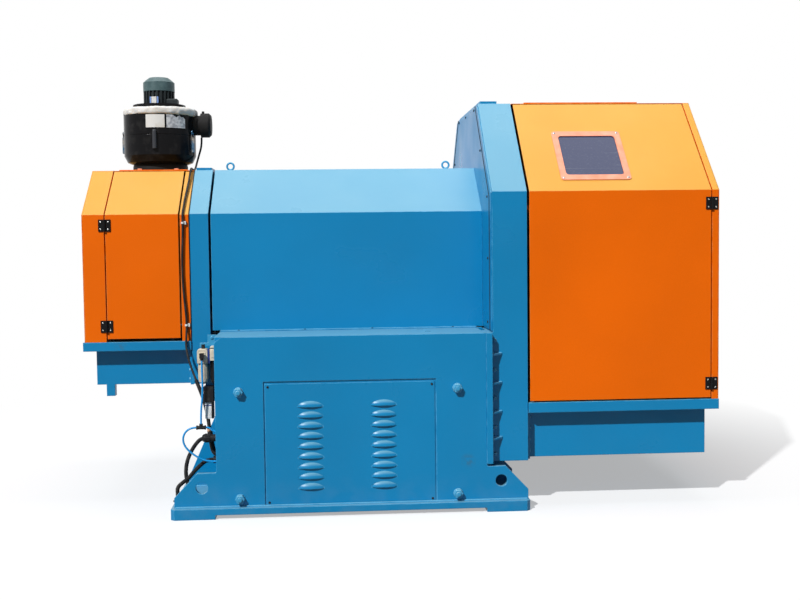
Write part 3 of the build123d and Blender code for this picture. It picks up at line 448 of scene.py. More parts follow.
# Each bolt head is given by its width across flats, its height and its chamfer.
small_bolt, large_bolt = (0.013, 0.006, 0.001), (0.017, 0.008, 0.0012)
right_bolt_x, right_bolt_zs = rib_low.x + 0.015, (0.219, 0.329, 0.447, 0.561, 0.681)
left_bolt_x, left_bolt_y, left_bolt_zs = -0.5565, 0.46, (0.542, 0.678)
disc_radius, disc_height = 0.0085, 0.0015
disc = [(0, 0), (disc_radius, 0), (disc_radius, disc_height), (0, disc_height)]
mount_bolts = bmesh.new()
for side in (-1, 1):
    for z in right_bolt_zs:
        seat = aim((right_bolt_x, side * portal_face, z), (0, side, 0))
        turned(mount_bolts, disc, seat, steps=16)
        hexagon(mount_bolts, seat @ Matrix.Translation((0, 0, disc_height)), *small_bolt)
    for z in left_bolt_zs:
        hexagon(mount_bolts, aim((left_bolt_x, side * left_bolt_y, z), (0, side, 0)), *large_bolt)
piece("portal_bolts", mount_bolts, highlighted_fastener_enamel)

rib_zs, rib_thickness = (0.281, 0.387, 0.505, 0.622), 0.008
rib_welds = bmesh.new()
for side in (-1, 1):
    for z in [rib_z + lift for rib_z in rib_zs for lift in (0, rib_thickness)]:
        rib_ends = [(x, side * portal_face, z) for x in (rib_low.x + 0.001, rib_high.x - 0.003)]
        weld_bead(rib_welds, *rib_ends, radius=0.003)
piece("rib_welds", rib_welds, blue_enamel)

cover_screws = bmesh.new()
cover_seats = [(0.268, 1.656), (0.457, 1.465), (0.648, 1.263), (0.658, 1.011), (0.645, 0.748)]
for y, z in [(side * y, z) for side in (-1, 1) for y, z in cover_seats] + [(0.018, 1.656)]:
    button_screw(cover_screws, (cover_low.x, y, z), (-1, 0, 0), radius=0.0058, height=0.0035)
piece("cover_screws", cover_screws, screw_black)


def side_strips(form, x, line, radius):
    """Round strips on both sides of the machine, along a folded line of (y, z) points."""
    for side in (-1, 1):
        points = [Vector((x, side * y, z)) for y, z in line]
        for start, end in zip(points, points[1:]):
            sleeve(form, [start, start.lerp(end, 0.5), end], radius, sides=8)


black_rubber = mottled(
    "black_rubber", (0.012, 0.012, 0.013), (0.06, 0.057, 0.052), (35, 4, 0.45, 0.7, 0, 0.5), 0.55,
    shine=0.15, grain=(500, 2, 0.2, 0.0004),
)
# The seam of the cover runs 49 mm inside the portal's front and back outline.
seam_y, seam_eaves_z, seam_top_y, seam_top_z = 0.704, 1.259, 0.3023, 1.668
seam = [(seam_y, cover_low.z), (seam_y, seam_eaves_z), (seam_top_y, seam_top_z)]
seal = bmesh.new()
side_strips(seal, cover_low.x, seam, 0.0024)
piece("cover_seal", seal, black_rubber)

# Spindle noses: turned steel flanges round the cable's way on the outer faces of the portals,
# each with eight cap screws. They show when the doors stand open.
axis_z, flange_thickness, screw_circle = 1.048, 0.022, 0.118
turned_steel, tree = new_finish("turned_steel", 0.28, 1)
steel_tone = blended(tree, speckle(tree, 18, 4), (0.42, 0.42, 0.43), (0.6, 0.6, 0.6))
moved = add(tree, "Mapping", Vector=machine_place(tree), Location=(0, 0, -axis_z))
ring_shape = {"wave_type": "RINGS", "rings_direction": "X", "Scale": 160, "Distortion": 0.4}
rings = add(tree, "TexWave", moved, output="Fac", **ring_shape)
tool_marks = bumped(tree, rings, 0.2, 0.0003, rounded_normal(tree, 0.001))
coat(turned_steel, Base_Color=steel_tone, Normal=tool_marks)
dress(turned_steel, "left_spindle_nose", "right_spindle_nose")
nose_screws = bmesh.new()
for face_x, side in ((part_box("left_portal")[0].x, -1), (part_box("right_portal")[1].x, 1)):
    for k in range(8):
        angle = (k + 0.5) * tau / 8
        y, z = screw_circle * cos(angle), axis_z + screw_circle * sin(angle)
        point = (face_x + side * flange_thickness, y, z)
        button_screw(nose_screws, point, (side, 0, 0), radius=0.009, height=0.009)
piece("nose_screws", nose_screws, screw_black)

# Drive cover: one folded sheet over the drive, screwed down through a flange on each side,
# with two painted ring bolts in its roof.
dress(blue_enamel, "central_hood")
dress(highlighted_fastener_enamel, "eye_bolts")
flange_screw_y = abs(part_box("central_hood")[0].y) - 0.011
flange_screw_xs = (-0.459, -0.182, 0.101, 0.443)
flange_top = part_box("base_deck")[1].z + 0.003
flange_screws = bmesh.new()
for side in (-1, 1):
    for x in flange_screw_xs:
        point = (x, side * flange_screw_y, flange_top)
        button_screw(flange_screws, point, (0, 0, 1), radius=0.0052, height=0.0032)
piece("flange_screws", flange_screws, screw_black)

# Trays and the box frames under them: folded blue sheet that carries the guard hoods, with
# the frames screwed to the portals through end flanges.
dress(blue_enamel, "right_shelf", "right_under_frame", "left_shelf", "left_under_frame")
from_portal, from_edge = 0.012, 0.014
frame_bolts = bmesh.new()
for frame_name, inner, out, zs in (
    ("right_under_frame", 0, 1, (0.222, 0.269, 0.316, 0.363)),
    ("left_under_frame", 1, -1, (0.512, 0.551, 0.591)),
):
    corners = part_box(frame_name)
    for side in (-1, 1):
        for z in zs:
            point = (corners[inner].x + out * from_portal, side * (corners[1].y - from_edge), z)
            hexagon(frame_bolts, aim(point, (out, 0, 0)), *small_bolt)
piece("frame_bolts", frame_bolts, highlighted_fastener_enamel)

# Guard hoods: folded steel sheet in orange enamel, glossy and slightly wavy, with a yellower
# spot where the left one was touched up. The doors are sheets folded along the eaves.
touch_up = [((-0.796, -0.31, 1.37), 0.06, (0.82, 0.3, 0.02), 0.7)]
# The paler orange is a painted sheen for the faces that look up, and the yellow one edge wear with a
# painted highlight.
orange_enamel = machine_enamel(
    "orange_enamel", (0.8, 0.131, 0.0005), (0.66, 0.35, 0.062), (0.95, 0.45, 0.14), touch_up, 0.32, 0.13
)
for end in ("right", "left"):
    dress(orange_enamel, f"{end}_hood_end_wall", f"{end}_hood_roof", f"{end}_hood_back", f"{end}_door")
dress(orange_enamel, "right_hood_post", "left_hood_posts", "vacuum_mount")

# Strips of the small hood: black rubber fills its joint with the portal, and a painted cord
# closes the gap behind the door's hinges from the inside.
joint_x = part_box("left_portal")[0].x - 0.0015
eaves_y, eaves_z, roof_y, roof_z = 0.494, 1.2085, 0.246, 1.4045
hood_foot_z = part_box("left_shelf")[1].z
strips = bmesh.new()
side_strips(strips, joint_x, [(eaves_y, hood_foot_z), (eaves_y, eaves_z), (roof_y, roof_z)], 0.0022)
piece("hood_strips", strips, black_rubber)
gap_x, gap_y = -1.005, -0.4715
gap_cord = bmesh.new()
gap_line = [Vector((gap_x, gap_y, z)) for z in (hood_foot_z + 0.001, 0.95, 1.195)]
sleeve(gap_cord, gap_line, 0.0032, sides=8)
piece("hinge_gap_cord", gap_cord, orange_enamel)

# Window in the large door: a smoked pane behind a salmon pink frame with a screw in each
# corner. The pane is scuffed, with dust and one long fine scratch.
frame_pink = mottled(
    "salmon_trim", (0.78, 0.27, 0.16), (0.86, 0.36, 0.24), (25, 4, 0.35, 0.7), 0.42,
    grain=(400, 2, 0.15, 0.0004), edge=0.0015,
)
dress(frame_pink, "window_frame")
smoked, tree = new_finish("smoked_pane", 0.12)
scuffs = patches(tree, 160, 6, 0.56, 0.78)
stretched = add(tree, "Mapping", Vector=machine_place(tree), Scale=(1.2, 260, 260))
scratch = spread(tree, speckle(tree, 1, 1, stretched), 0.7, 0.74)
haze = blended(tree, product(tree, scuffs, 0.14), (0.025, 0.034, 0.09), (0.3, 0.33, 0.36))
pane_colour = blended(tree, product(tree, scratch, 0.4), haze, (0.45, 0.5, 0.52))
coat(smoked, Base_Color=pane_colour, Roughness=spread(tree, scuffs, 0, 1, 0.12, 0.25))
dress(smoked, "window_pane")

zinc = mottled("zinc_screws", (0.34, 0.34, 0.34), (0.52, 0.52, 0.5), (200, 2), 0.32, metallic=1)
frame_low, frame_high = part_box("window_frame")
slope_depth, slope_rise = 0.388, 0.395
slope = Vector((0, slope_depth, slope_rise)).normalized()
outward = Vector((0, -slope.z, slope.y))
frame_centre = (frame_low + frame_high) / 2 + outward * 0.002
screw_along, screw_up = 0.1335, 0.138
window_screws = bmesh.new()
for along in (-1, 1):
    for up in (-1, 1):
        point = frame_centre + Vector((along * screw_along, 0, 0)) + slope * up * screw_up
        button_screw(window_screws, point, outward, radius=0.0055, height=0.003)
piece("window_screws", window_screws, zinc, body="right_door_leaf")

# Hinges: black enamelled butt hinges of 50 by 50 mm, two to each door, each leaf held by two
# bright pan-head screws.
hinge_black = mottled(
    "hinge_black", (0.004, 0.004, 0.005), (0.016, 0.016, 0.017), (90, 3), 0.35, shine=0.05, edge=0.0008
)
dress(hinge_black, "fixed_hinge_leaves", "right_door_hinge_leaves", "left_door_hinge_leaves")
leaf_face, screw_offset = 0.004, 0.0155
for door, pin_x, hinge_zs, door_side in (
    ("right_door", 1.477, (0.490, 1.225), -1),
    ("left_door", -1.005, (0.743, 1.163), 1),
):
    face_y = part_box(door)[0].y - leaf_face
    for body, side, held in ((f"{door}_leaf", door_side, "moving"), ("machine", -door_side, "fixed")):
        leaf_screws = bmesh.new()
        for z in [hinge_z + up * screw_offset for hinge_z in hinge_zs for up in (-1, 1)]:
            point = (pin_x + side * screw_offset, face_y, z)
            button_screw(leaf_screws, point, (0, -1, 0), radius=0.0033, height=0.002)
        piece(f"{door}_leaf_{held}_screws", leaf_screws, zinc, body=body)

# Vacuum drum: a glossy black moulded drum, clamped by bright toggle latches and opened by a
# black lever at the front. It mirrors the orange roof that it stands on.
drum_black = mottled(
    "drum_black", (0.006, 0.006, 0.007), (0.035, 0.034, 0.033), (30, 5, 0.5, 0.75, 0, 0.4), 0.16,
    shine=0.08, grain=(7, 1, 0.3, 0.004), edge=0.002,
)
coat(drum_black, Roughness=patches(drum_black.node_tree, 9, 4, 0.3, 0.7, 0.1, 0.24))
dress(drum_black, "vacuum_drum")
lever_black = mottled(
    "lever_black", (0.012, 0.014, 0.019), (0.035, 0.038, 0.046), (60, 4), 0.38, shine=0.35, edge=0.002
)
dress(lever_black, "drum_handle")
matte_black = mottled(
    "matte_black", (0.007, 0.007, 0.008), (0.022, 0.021, 0.02), (40, 4), 0.55,
    shine=0.08, grain=(400, 2, 0.2, 0.0004), edge=0.0015,
)
dress(matte_black, "vacuum_inlet_box")
# The latch steel is mottled grey and blue; the blue is a painted reflection of blue surroundings.
latch_steel_painted_reflection = mottled(
    "latch_steel_with_painted_reflection", (0.05, 0.13, 0.22), (0.32, 0.3, 0.27), (26, 3, 0.42, 0.58), 0.26,
    metallic=1, edge=0.001,
)
dress(latch_steel_painted_reflection, "drum_latches")

drum_x, drum_radius, latch_top = -0.839, 0.161, 1.569
wire_half, wire_rise = 0.008, 0.01
upward = Vector((0, 0, 1))
latch_parts = bmesh.new()
for angle in (pi, radians(-22)):
    radial = Vector((cos(angle), sin(angle), 0))
    sideways = upward.cross(radial) * wire_half
    middle = Vector((drum_x, 0, latch_top)) + radial * (drum_radius + 0.005)
    catch = aim(middle + upward * 0.018 - radial * 0.004, radial)
    turned(latch_parts, [(0, 0), (0.009, 0), (0.009, 0.004), (0.006, 0.007), (0, 0.007)], catch, steps=16)
    sweeps = [pi * k / 12 for k in range(13)]
    wire = [middle + sideways * cos(a) + upward * (0.016 + wire_rise * sin(a)) for a in sweeps]
    leg_end = middle - upward * 0.012
    sleeve(latch_parts, [leg_end + sideways, *wire, leg_end - sideways], 0.0016, sides=6)
    for drop in (0.02, 0.056):
        rivet = aim(middle + radial * 0.003 - upward * drop, radial)
        turned(latch_parts, [(0, 0), (0.0035, 0), (0.0026, 0.0018), (0, 0.0022)], rivet, steps=12)
piece("latch_hooks", latch_parts, latch_steel_painted_reflection)


# Foot of the drum: it stands in a low black ring on its mounting plate, and two salmon clips
# hold the ring at the front.
def prism(form, outline, height, place):
    """Adds a prism on a closed outline of (x, y) points, standing on its frame's plane."""
    levels = [[place @ Vector((x, y, z)) for x, y in outline] for z in (0, height)]
    skin(form, [[form.verts.new(point) for point in level] for level in levels])


def block(form, x, y, z):
    """Adds a rectangular block between (low, high) pairs."""
    outline = [(x[0], y[0]), (x[1], y[0]), (x[1], y[1]), (x[0], y[1])]
    prism(form, outline, z[1] - z[0], Matrix.Translation((0, 0, z[0])))


def about(middle, half):
    """The (low, high) pair that lies evenly about a middle."""
    return middle - half, middle + half


ring_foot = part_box("vacuum_mount")[1].z - 0.022
ring_profile = [(0, 0), (0.121, 0), (0.123, 0.002), (0.123, 0.022), (0.119, 0.029), (0, 0.029)]
base_ring = bmesh.new()
turned(base_ring, ring_profile, Matrix.Translation((drum_x, 0, ring_foot)), steps=72)
piece("drum_base_ring", base_ring, matte_black)
clip_half_width, clip_half_depth, clip_height = 0.0095, 0.012, 0.008
foot_clips = bmesh.new()
for x, y in ((-0.917, -0.098), (-0.756, -0.094)):
    clip_z = (ring_foot, ring_foot + clip_height)
    block(foot_clips, about(x, clip_half_width), about(y, clip_half_depth), clip_z)
piece("drum_foot_clips", foot_clips, frame_pink, bevel=0.001)

# Labels on the drum: two bare white paper plates stuck to the curved wall. The right one has
# lost its top edge in tears, and both have lifted a little at the corners.
paper = mottled(
    "bare_label_paper", (0.7, 0.69, 0.66), (0.6, 0.56, 0.49), (28, 4, 0.45, 0.7), 0.55,
    grain=(60, 4, 0.4, 0.001),
)
worn_paper = mottled(
    "worn_label_paper", (0.66, 0.67, 0.68), (0.3, 0.31, 0.34), (75, 6, 0.42, 0.66), 0.6,
    grain=(45, 4, 0.7, 0.002),
)


def torn_depth(torn, along):
    """Depth of the tear at a share of the label's length, between (share, depth) points."""
    for (before, shallow), (after, deep) in zip(torn, torn[1:]):
        if before <= along <= after:
            return shallow + (deep - shallow) * (along - before) / (after - before)
    return 0


def curved_label(form, axis_x, radius, start, end, z, torn=()):
    """Plate wrapped round an upright wall between angles in degrees; its top may be torn."""
    columns = 48 if torn else 24
    rings = []
    for k in range(columns + 1):
        angle = radians(start + (end - start) * k / columns)
        radial = Vector((sin(angle), -cos(angle), 0))
        top = z[1] - torn_depth(torn, k / columns)
        heights = (z[0], (z[0] + top) / 2, top)
        lift = 0.0012 * abs(2 * k / columns - 1) ** 6
        outer = [Vector((axis_x, 0, height)) + radial * (radius + 0.0012 + lift) for height in heights]
        inner = [point - radial * 0.0008 for point in outer]
        rings.append([form.verts.new(point) for point in outer + inner[::-1]])
    skin(form, rings)


tears = [(0, 0), (0.3, 0), (0.42, 0.008), (0.52, 0.013), (0.6, 0.006), (0.68, 0.002)]
tears += [(0.78, 0.012), (0.88, 0.009), (1, 0.019)]
for name, span, height, torn, finish in (
    ("whole_label", (-13.7, 15.5), (1.6005, 1.658), (), paper),
    ("torn_label", (18.5, 51), (1.6, 1.659), tears, worn_paper),
):
    label = bmesh.new()
    curved_label(label, drum_x, drum_radius, *span, height, torn)
    piece(name, label, finish)

# Collar: the rim of a cream filter cloth, rolled and crumpled over the drum's edge, turning
# yellower towards its foot. Its folds run round and slantwise.
cream_cloth, tree = new_finish("cream_filter_cloth", 0.85)
place = machine_place(tree)
# Towards the foot of the roll the cloth's colour turns yellower.
yellower_foot = spread(tree, add(tree, "SeparateXYZ", place, output="Z"), 1.668, 1.658, 0, 0.8)
cloth = blended(tree, patches(tree, 22, 5, 0.45, 0.75), (0.7, 0.68, 0.65), (0.56, 0.52, 0.47))
crumple = bumped(tree, speckle(tree, 45, 5), 0.7, 0.005)
weave = bumped(tree, add(tree, "TexVoronoi", place, Scale=480, output="Distance"), 0.3, 0.0005, crumple)
coat(cream_cloth, Base_Color=blended(tree, yellower_foot, cloth, (0.62, 0.45, 0.2)), Normal=weave, Sheen_Weight=0.3)
coat(cream_cloth, Subsurface_Weight=0.4, Subsurface_Radius=(1, 0.85, 0.7), Subsurface_Scale=0.02)
collar_low, collar_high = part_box("drum_collar")
collar_x, collar_radius, roll_width = -0.8345, 0.145, 0.0225
roll_height = (collar_high.z - collar_low.z) / 2 - 0.001
collar_middle = (collar_low.z + collar_high.z) / 2 - 0.016
around, section = 220, 28
collar = bmesh.new()
loops = []
for k in range(around):
    angle = tau * k / around
    loop = []
    for m in range(section):
        lean = tau * m / section
        at = Vector((cos(angle) * 3.1, sin(angle) * 3.1, m / section * 1.6))
        folds = noise.noise(at * 2.3) * 0.14 + noise.noise(at * 5.0 + Vector((5, 2, 8))) * 0.06
        swell = 0.96 + folds + 0.05 * sin(9 * angle + 2 * lean + 3 * noise.noise(at))
        outward_share = copysign(abs(cos(lean)) ** 0.6, cos(lean))
        upward_share = copysign(abs(sin(lean)) ** 0.75, sin(lean))
        radius = collar_radius + roll_width * outward_share * min(swell, 1.04)
        height = collar_middle + roll_height * upward_share * min(swell, 1.0)
        loop.append(collar.verts.new((collar_x + radius * cos(angle), radius * sin(angle), height)))
    loops.append(loop)
skin(collar, loops, closed=True)
cloth_collar = piece(
    "cloth_collar", collar, cream_cloth, sharp=80, replaces=["drum_collar"]
)
softened = cloth_collar.modifiers.new("soft_folds", "SUBSURF")
softened.levels = softened.render_levels = 1

# Vacuum motor: a dark finned housing under a grey green fan cowl with a round grille, a
# terminal box at its foot and a bare white plate with blue borders on the fins.
casting_grain = (260, 2, 0.3, 0.0006)
motor_green = mottled(
    "motor_green", (0.045, 0.085, 0.09), (0.075, 0.125, 0.13), (40, 4, 0.35, 0.7), 0.42,
    shine=0.3, grain=casting_grain, edge=0.0015,
)
dress(motor_green, "motor_cowl")
motor_dark = mottled(
    "motor_dark", (0.01, 0.014, 0.015), (0.035, 0.042, 0.045), (50, 4), 0.5,
    shine=0.12, grain=casting_grain,
)
dress(motor_dark, "motor_body", "motor_terminal_box")
cowl_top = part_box("motor_cowl")[1].z
grille = bmesh.new()
for radius in (0.012, 0.021, 0.03, 0.039):
    angles = [tau * k / 48 for k in range(48)]
    ring = [Vector((drum_x + radius * cos(a), radius * sin(a), cowl_top - 0.0008)) for a in angles]
    sleeve(grille, ring, 0.0014, sides=6, closed=True)
for k in range(6):
    spoke = Vector((cos(tau * k / 6), sin(tau * k / 6), 0))
    centre = Vector((drum_x, 0, cowl_top - 0.0004))
    sleeve(grille, [centre + spoke * along for along in (0.011, 0.026, 0.041)], 0.0012, sides=6)
piece("cowl_grille", grille, motor_dark)
plate_blue = mottled("plate_blue", (0.17, 0.28, 0.58), (0.24, 0.36, 0.66), (90, 2), 0.4)
plate_radius, plate_z, border_degrees = 0.0705, (1.7165, 1.7475), 6
motor_plate = bmesh.new()
curved_label(motor_plate, drum_x, plate_radius, -20, -2, plate_z)
piece("motor_plate", motor_plate, paper)
plate_borders = bmesh.new()
for start in (-27, -1):
    curved_label(plate_borders, drum_x, plate_radius, start, start + border_degrees, plate_z)
piece("motor_plate_borders", plate_borders, plate_blue)

# Air service set: a wide beige regulator and a narrow one beside it, with a dark blue strip
# between them, a ribbed black knob, and a black elbow that feeds the blue tube.
beige = mottled(
    "beige_moulding", (0.66, 0.58, 0.44), (0.5, 0.43, 0.32), (60, 4, 0.4, 0.75), 0.35,
    grain=(420, 2, 0.12, 0.0004),
)
deep_blue = mottled("deep_blue_moulding", (0.012, 0.03, 0.16), (0.02, 0.05, 0.24), (60, 2), 0.35)
black_moulding = mottled(
    "black_moulding", (0.01, 0.01, 0.011), (0.07, 0.067, 0.06), (45, 4, 0.5, 0.75, 0, 0.4), 0.42,
    shine=0.15, grain=(500, 2, 0.15, 0.0004),
)


def knurled(crest, groove, tooth_steps):
    """Round outline with twelve teeth, for a knob or a connector that is turned by hand."""
    steps = 12 * tooth_steps
    outline = []
    for k in range(steps):
        radius = crest if k % tooth_steps < tooth_steps / 2 else groove
        outline.append((radius * cos(tau * k / steps), radius * sin(tau * k / steps)))
    return outline


upright = Matrix.Rotation(pi / 2, 4, "X")
service_y = -0.7
unit_depth, head_height, shoulder = 0.046, 0.058, 0.008
unit_front, unit_back = service_y - unit_depth / 2, service_y + unit_depth / 2
wide_unit, narrow_unit = (-0.5885, 0.042, 0.664, 0.019), (-0.548, 0.0225, 0.674, 0.0105)
bowl_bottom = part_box("air_service_set")[0].z
rib_radius, rib_count = 0.0014, 10
heads, bowls, slim_bowl, knobs, trims = (bmesh.new() for form in range(5))
for unit, bowl_form in ((wide_unit, bowls), (narrow_unit, slim_bowl)):
    unit_x, unit_width, top_z, bowl_radius = unit
    half_x = unit_width / 2
    neck_z = top_z - head_height
    head = [(-half_x, neck_z), (half_x, neck_z), (half_x, top_z - shoulder), (half_x * 0.72, top_z)]
    head += [(-half_x * 0.72, top_z), (-half_x, top_z - shoulder)]
    prism(heads, head, unit_depth, Matrix.Translation((unit_x, unit_back, 0)) @ upright)
    boss_y, boss_z = (unit_front - 0.0025, unit_front + 0.002), (neck_z + 0.012, top_z - 0.012)
    block(heads, about(unit_x, half_x * 0.62), boss_y, boss_z)
    neck = neck_z - bowl_bottom
    bowl = [(0, 0), (bowl_radius * 0.34, 0), (bowl_radius * 0.5, 0.004), (bowl_radius * 0.9, 0.009)]
    bowl += [(bowl_radius, 0.016), (bowl_radius, neck - 0.006)]
    bowl += [(bowl_radius - 0.002, neck - 0.005), (bowl_radius - 0.002, neck), (0, neck)]
    turned(bowl_form, bowl, Matrix.Translation((unit_x, service_y, bowl_bottom)), steps=28)
    for k in range(rib_count):
        spoke = Vector((cos(tau * k / rib_count), sin(tau * k / rib_count), 0))
        foot = Vector((unit_x, service_y, bowl_bottom + 0.02)) + spoke * bowl_radius
        sleeve(bowl_form, [foot, foot + upward * (neck - 0.034)], rib_radius, sides=6)
knob_seat = Matrix.Translation((wide_unit[0] + 0.002, service_y, wide_unit[2]))
prism(knobs, knurled(0.0075, 0.0069, 4), 0.0165, knob_seat)
mark_x = (narrow_unit[0] - 0.0115, narrow_unit[0] + 0.006)
block(knobs, mark_x, (unit_front - 0.0008, unit_front + 0.004), (0.6655, 0.6685))
gap_width = (wide_unit[0] + 0.021, narrow_unit[0] - 0.01125)
block(trims, gap_width, (unit_front - 0.0006, service_y + 0.004), (0.606, 0.664))
side_width = (wide_unit[0] - 0.0222, wide_unit[0] - 0.0205)
block(trims, side_width, (unit_front + 0.002, service_y + 0.012), (0.608, 0.63))
piece("service_heads", heads, beige, bevel=0.0025, replaces=["air_service_set"])
piece("service_bowls", bowls, beige, sharp=40)
piece("slim_service_bowl", slim_bowl, black_moulding, sharp=40)
elbow_x, elbow_z, tube_y = -0.589, 0.637, -0.742
block(knobs, about(elbow_x, 0.0085), about(tube_y, 0.009), (elbow_z - 0.008, elbow_z + 0.012))
elbow_neck = aim((elbow_x, unit_front - 0.002, elbow_z), (0, -1, 0))
turned(knobs, [(0, 0), (0.0078, 0), (0.0078, 0.01), (0, 0.01)], elbow_neck)
tube_nut = aim((elbow_x, tube_y, elbow_z - 0.006), (0, 0, -1))
turned(knobs, [(0, 0), (0.0062, 0), (0.0068, 0.003), (0.0068, 0.009), (0, 0.009)], tube_nut)
piece("service_knobs", knobs, black_moulding, bevel=0.0008)
piece("service_strips", trims, deep_blue, bevel=0.0008)

# Back plate: the blue sheet behind the units, bent out over the wide one and screwed to the
# bracket above and below them.
plate_outline = [(-0.563, 0.516), (-0.5362, 0.516), (-0.5362, 0.717), (-0.571, 0.717), (-0.571, 0.685)]
plate_outline += [(-0.6025, 0.685), (-0.6025, 0.668), (-0.563, 0.668)]
sheet, sheet_front = 0.003, unit_back + 0.0002
back_plate = bmesh.new()
prism(back_plate, plate_outline, sheet, Matrix.Translation((0, sheet_front + sheet, 0)) @ upright)
for x, z in ((-0.554, 0.705), (-0.55, 0.53)):
    seat = aim((x, sheet_front, z), (0, -1, 0))
    hexagon(back_plate, seat, flats=0.01, height=0.0045, chamfer=0.0008)
piece("service_back_plate", back_plate, highlighted_fastener_enamel, bevel=0.0006)

# Solenoid valve: a black valve block over a white body with fine ribs, beside a black bar.
# Both are moulded, and the valve is screwed to the bracket.
valve_low, valve_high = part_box("solenoid_valve")
valve_split = valve_high.z - 0.064
valve_block = bmesh.new()
block(valve_block, (valve_low.x, valve_high.x), (valve_low.y, valve_high.y), (valve_split, valve_high.z))
bar_x, bar_y = (valve_high.x - 0.009, valve_high.x - 0.002), (valve_low.y + 0.004, valve_high.y)
block(valve_block, bar_x, bar_y, (valve_low.z, valve_split + 0.002))
piece(
    "valve_block", valve_block, black_moulding, bevel=0.0015,
    replaces=["solenoid_valve"],
)
white_moulding = mottled(
    "white_moulding", (0.78, 0.78, 0.76), (0.55, 0.54, 0.52), (80, 4, 0.45, 0.75), 0.4
)
body_x, body_y = (valve_low.x + 0.004, valve_high.x - 0.01), (valve_low.y + 0.008, valve_high.y - 0.002)
rib_x = (valve_low.x + 0.0044, valve_high.x - 0.0104)
rib_pitch, rib_height = 0.0045, 0.0028
valve_body = bmesh.new()
block(valve_body, body_x, body_y, (valve_low.z, valve_split))
for row in range(floor((valve_split - valve_low.z - 0.02) / rib_pitch)):
    rib_z = valve_low.z + 0.006 + row * rib_pitch
    block(valve_body, rib_x, (valve_low.y + 0.0065, valve_low.y + 0.009), (rib_z, rib_z + rib_height))
piece("valve_body", valve_body, white_moulding, bevel=0.0004)
valve_stripe = bmesh.new()
stripe_y = (valve_low.y + 0.0068, valve_low.y + 0.009)
block(valve_stripe, rib_x, stripe_y, (valve_split - 0.014, valve_split - 0.011))
piece("valve_stripe", valve_stripe, deep_blue)

# Blue air tube: 8 mm polyurethane, down from the elbow to a black push-in tee, from which a
# loop and a short branch go back to the base.
tube_blue = mottled("tube_blue", (0.003, 0.26, 0.6), (0.006, 0.32, 0.72), (30, 2), 0.25)
coat(tube_blue, Coat_Weight=0.3)
dress(black_moulding, "tube_tee", "hose_glands")


def routed(name, routes, resolution):
    """Curve data that runs smoothly through given routes, in metres."""
    data = bpy.data.curves.new(name, "CURVE")
    data.dimensions = "3D"
    data.resolution_u = resolution
    for route in routes:
        spline = data.splines.new("NURBS")
        spline.points.add(len(route) - 1)
        for point, place_on_route in zip(spline.points, route):
            point.co = (*place_on_route, 1)
        spline.order_u = 3
        spline.use_endpoint_u = True
    return data


def line_curve(name, routes, radius, finish, replaced):
    """Smooth round cords through routes, as one curve object."""
    data = routed(name, routes, 8)
    data.bevel_depth = radius
    data.bevel_resolution = 4
    data.use_fill_caps = True
    data.materials.append(finish)
    thing = placed(name, data)
    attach(thing, "machine")
    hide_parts(replaced)


air_down_route = [
    (-0.589, -0.742, 0.624), (-0.589, -0.742, 0.576), (-0.588, -0.742, 0.524),
    (-0.590, -0.742, 0.468), (-0.597, -0.742, 0.414), (-0.597, -0.742, 0.367),
]
air_loop_route = [
    (-0.616, -0.742, 0.352), (-0.638, -0.742, 0.352), (-0.662, -0.742, 0.334),
    (-0.671, -0.742, 0.308), (-0.665, -0.742, 0.281), (-0.646, -0.742, 0.257),
    (-0.616, -0.738, 0.233), (-0.578, -0.730, 0.212), (-0.535, -0.730, 0.212),
]
air_short_route = [
    (-0.578, -0.742, 0.352), (-0.564, -0.742, 0.352), (-0.549, -0.738, 0.334), (-0.535, -0.738, 0.334),
]
air_routes = [air_down_route, air_loop_route, air_short_route]
line_curve("blue_air_tubes", air_routes, 0.004, tube_blue, "air_tubes")

# Power cable: 9 mm black sheathed cable from the vacuum unit's switch box over the roof, down
# the fixed strip of the small hood through two tie mounts, and into the end of the base.
power_cable_route = [
    (-0.651, 0, 1.568), (-0.651, 0, 1.533), (-0.661, -0.010, 1.494), (-0.670, -0.030, 1.456),
    (-0.673, -0.066, 1.426), (-0.674, -0.112, 1.412), (-0.674, -0.162, 1.411), (-0.674, -0.208, 1.414),
    (-0.673, -0.254, 1.411), (-0.673, -0.295, 1.378), (-0.675, -0.335, 1.341), (-0.678, -0.379, 1.306),
    (-0.681, -0.421, 1.271), (-0.682, -0.462, 1.2375), (-0.683, -0.4935, 1.2115), (-0.683, -0.498, 1.193),
    (-0.683, -0.498, 1.151), (-0.685, -0.497, 1.098), (-0.688, -0.498, 1.038), (-0.689, -0.497, 0.974),
    (-0.687, -0.498, 0.912), (-0.683, -0.497, 0.852), (-0.678, -0.498, 0.800), (-0.676, -0.498, 0.762),
    (-0.676, -0.498, 0.726), (-0.677, -0.508, 0.692), (-0.678, -0.514, 0.660), (-0.672, -0.522, 0.620),
    (-0.657, -0.540, 0.574), (-0.636, -0.574, 0.530), (-0.613, -0.606, 0.484), (-0.595, -0.620, 0.436),
    (-0.583, -0.620, 0.380), (-0.577, -0.614, 0.320), (-0.571, -0.608, 0.262), (-0.561, -0.604, 0.216),
    (-0.535, -0.604, 0.216),
]
line_curve("black_power_cable", [power_cable_route], 0.0045, black_rubber, "power_cable")
nylon = mottled("white_nylon", (0.6, 0.6, 0.58), (0.75, 0.75, 0.72), (80, 2), 0.5, edge=0.0008)
dress(nylon, "cable_ties")

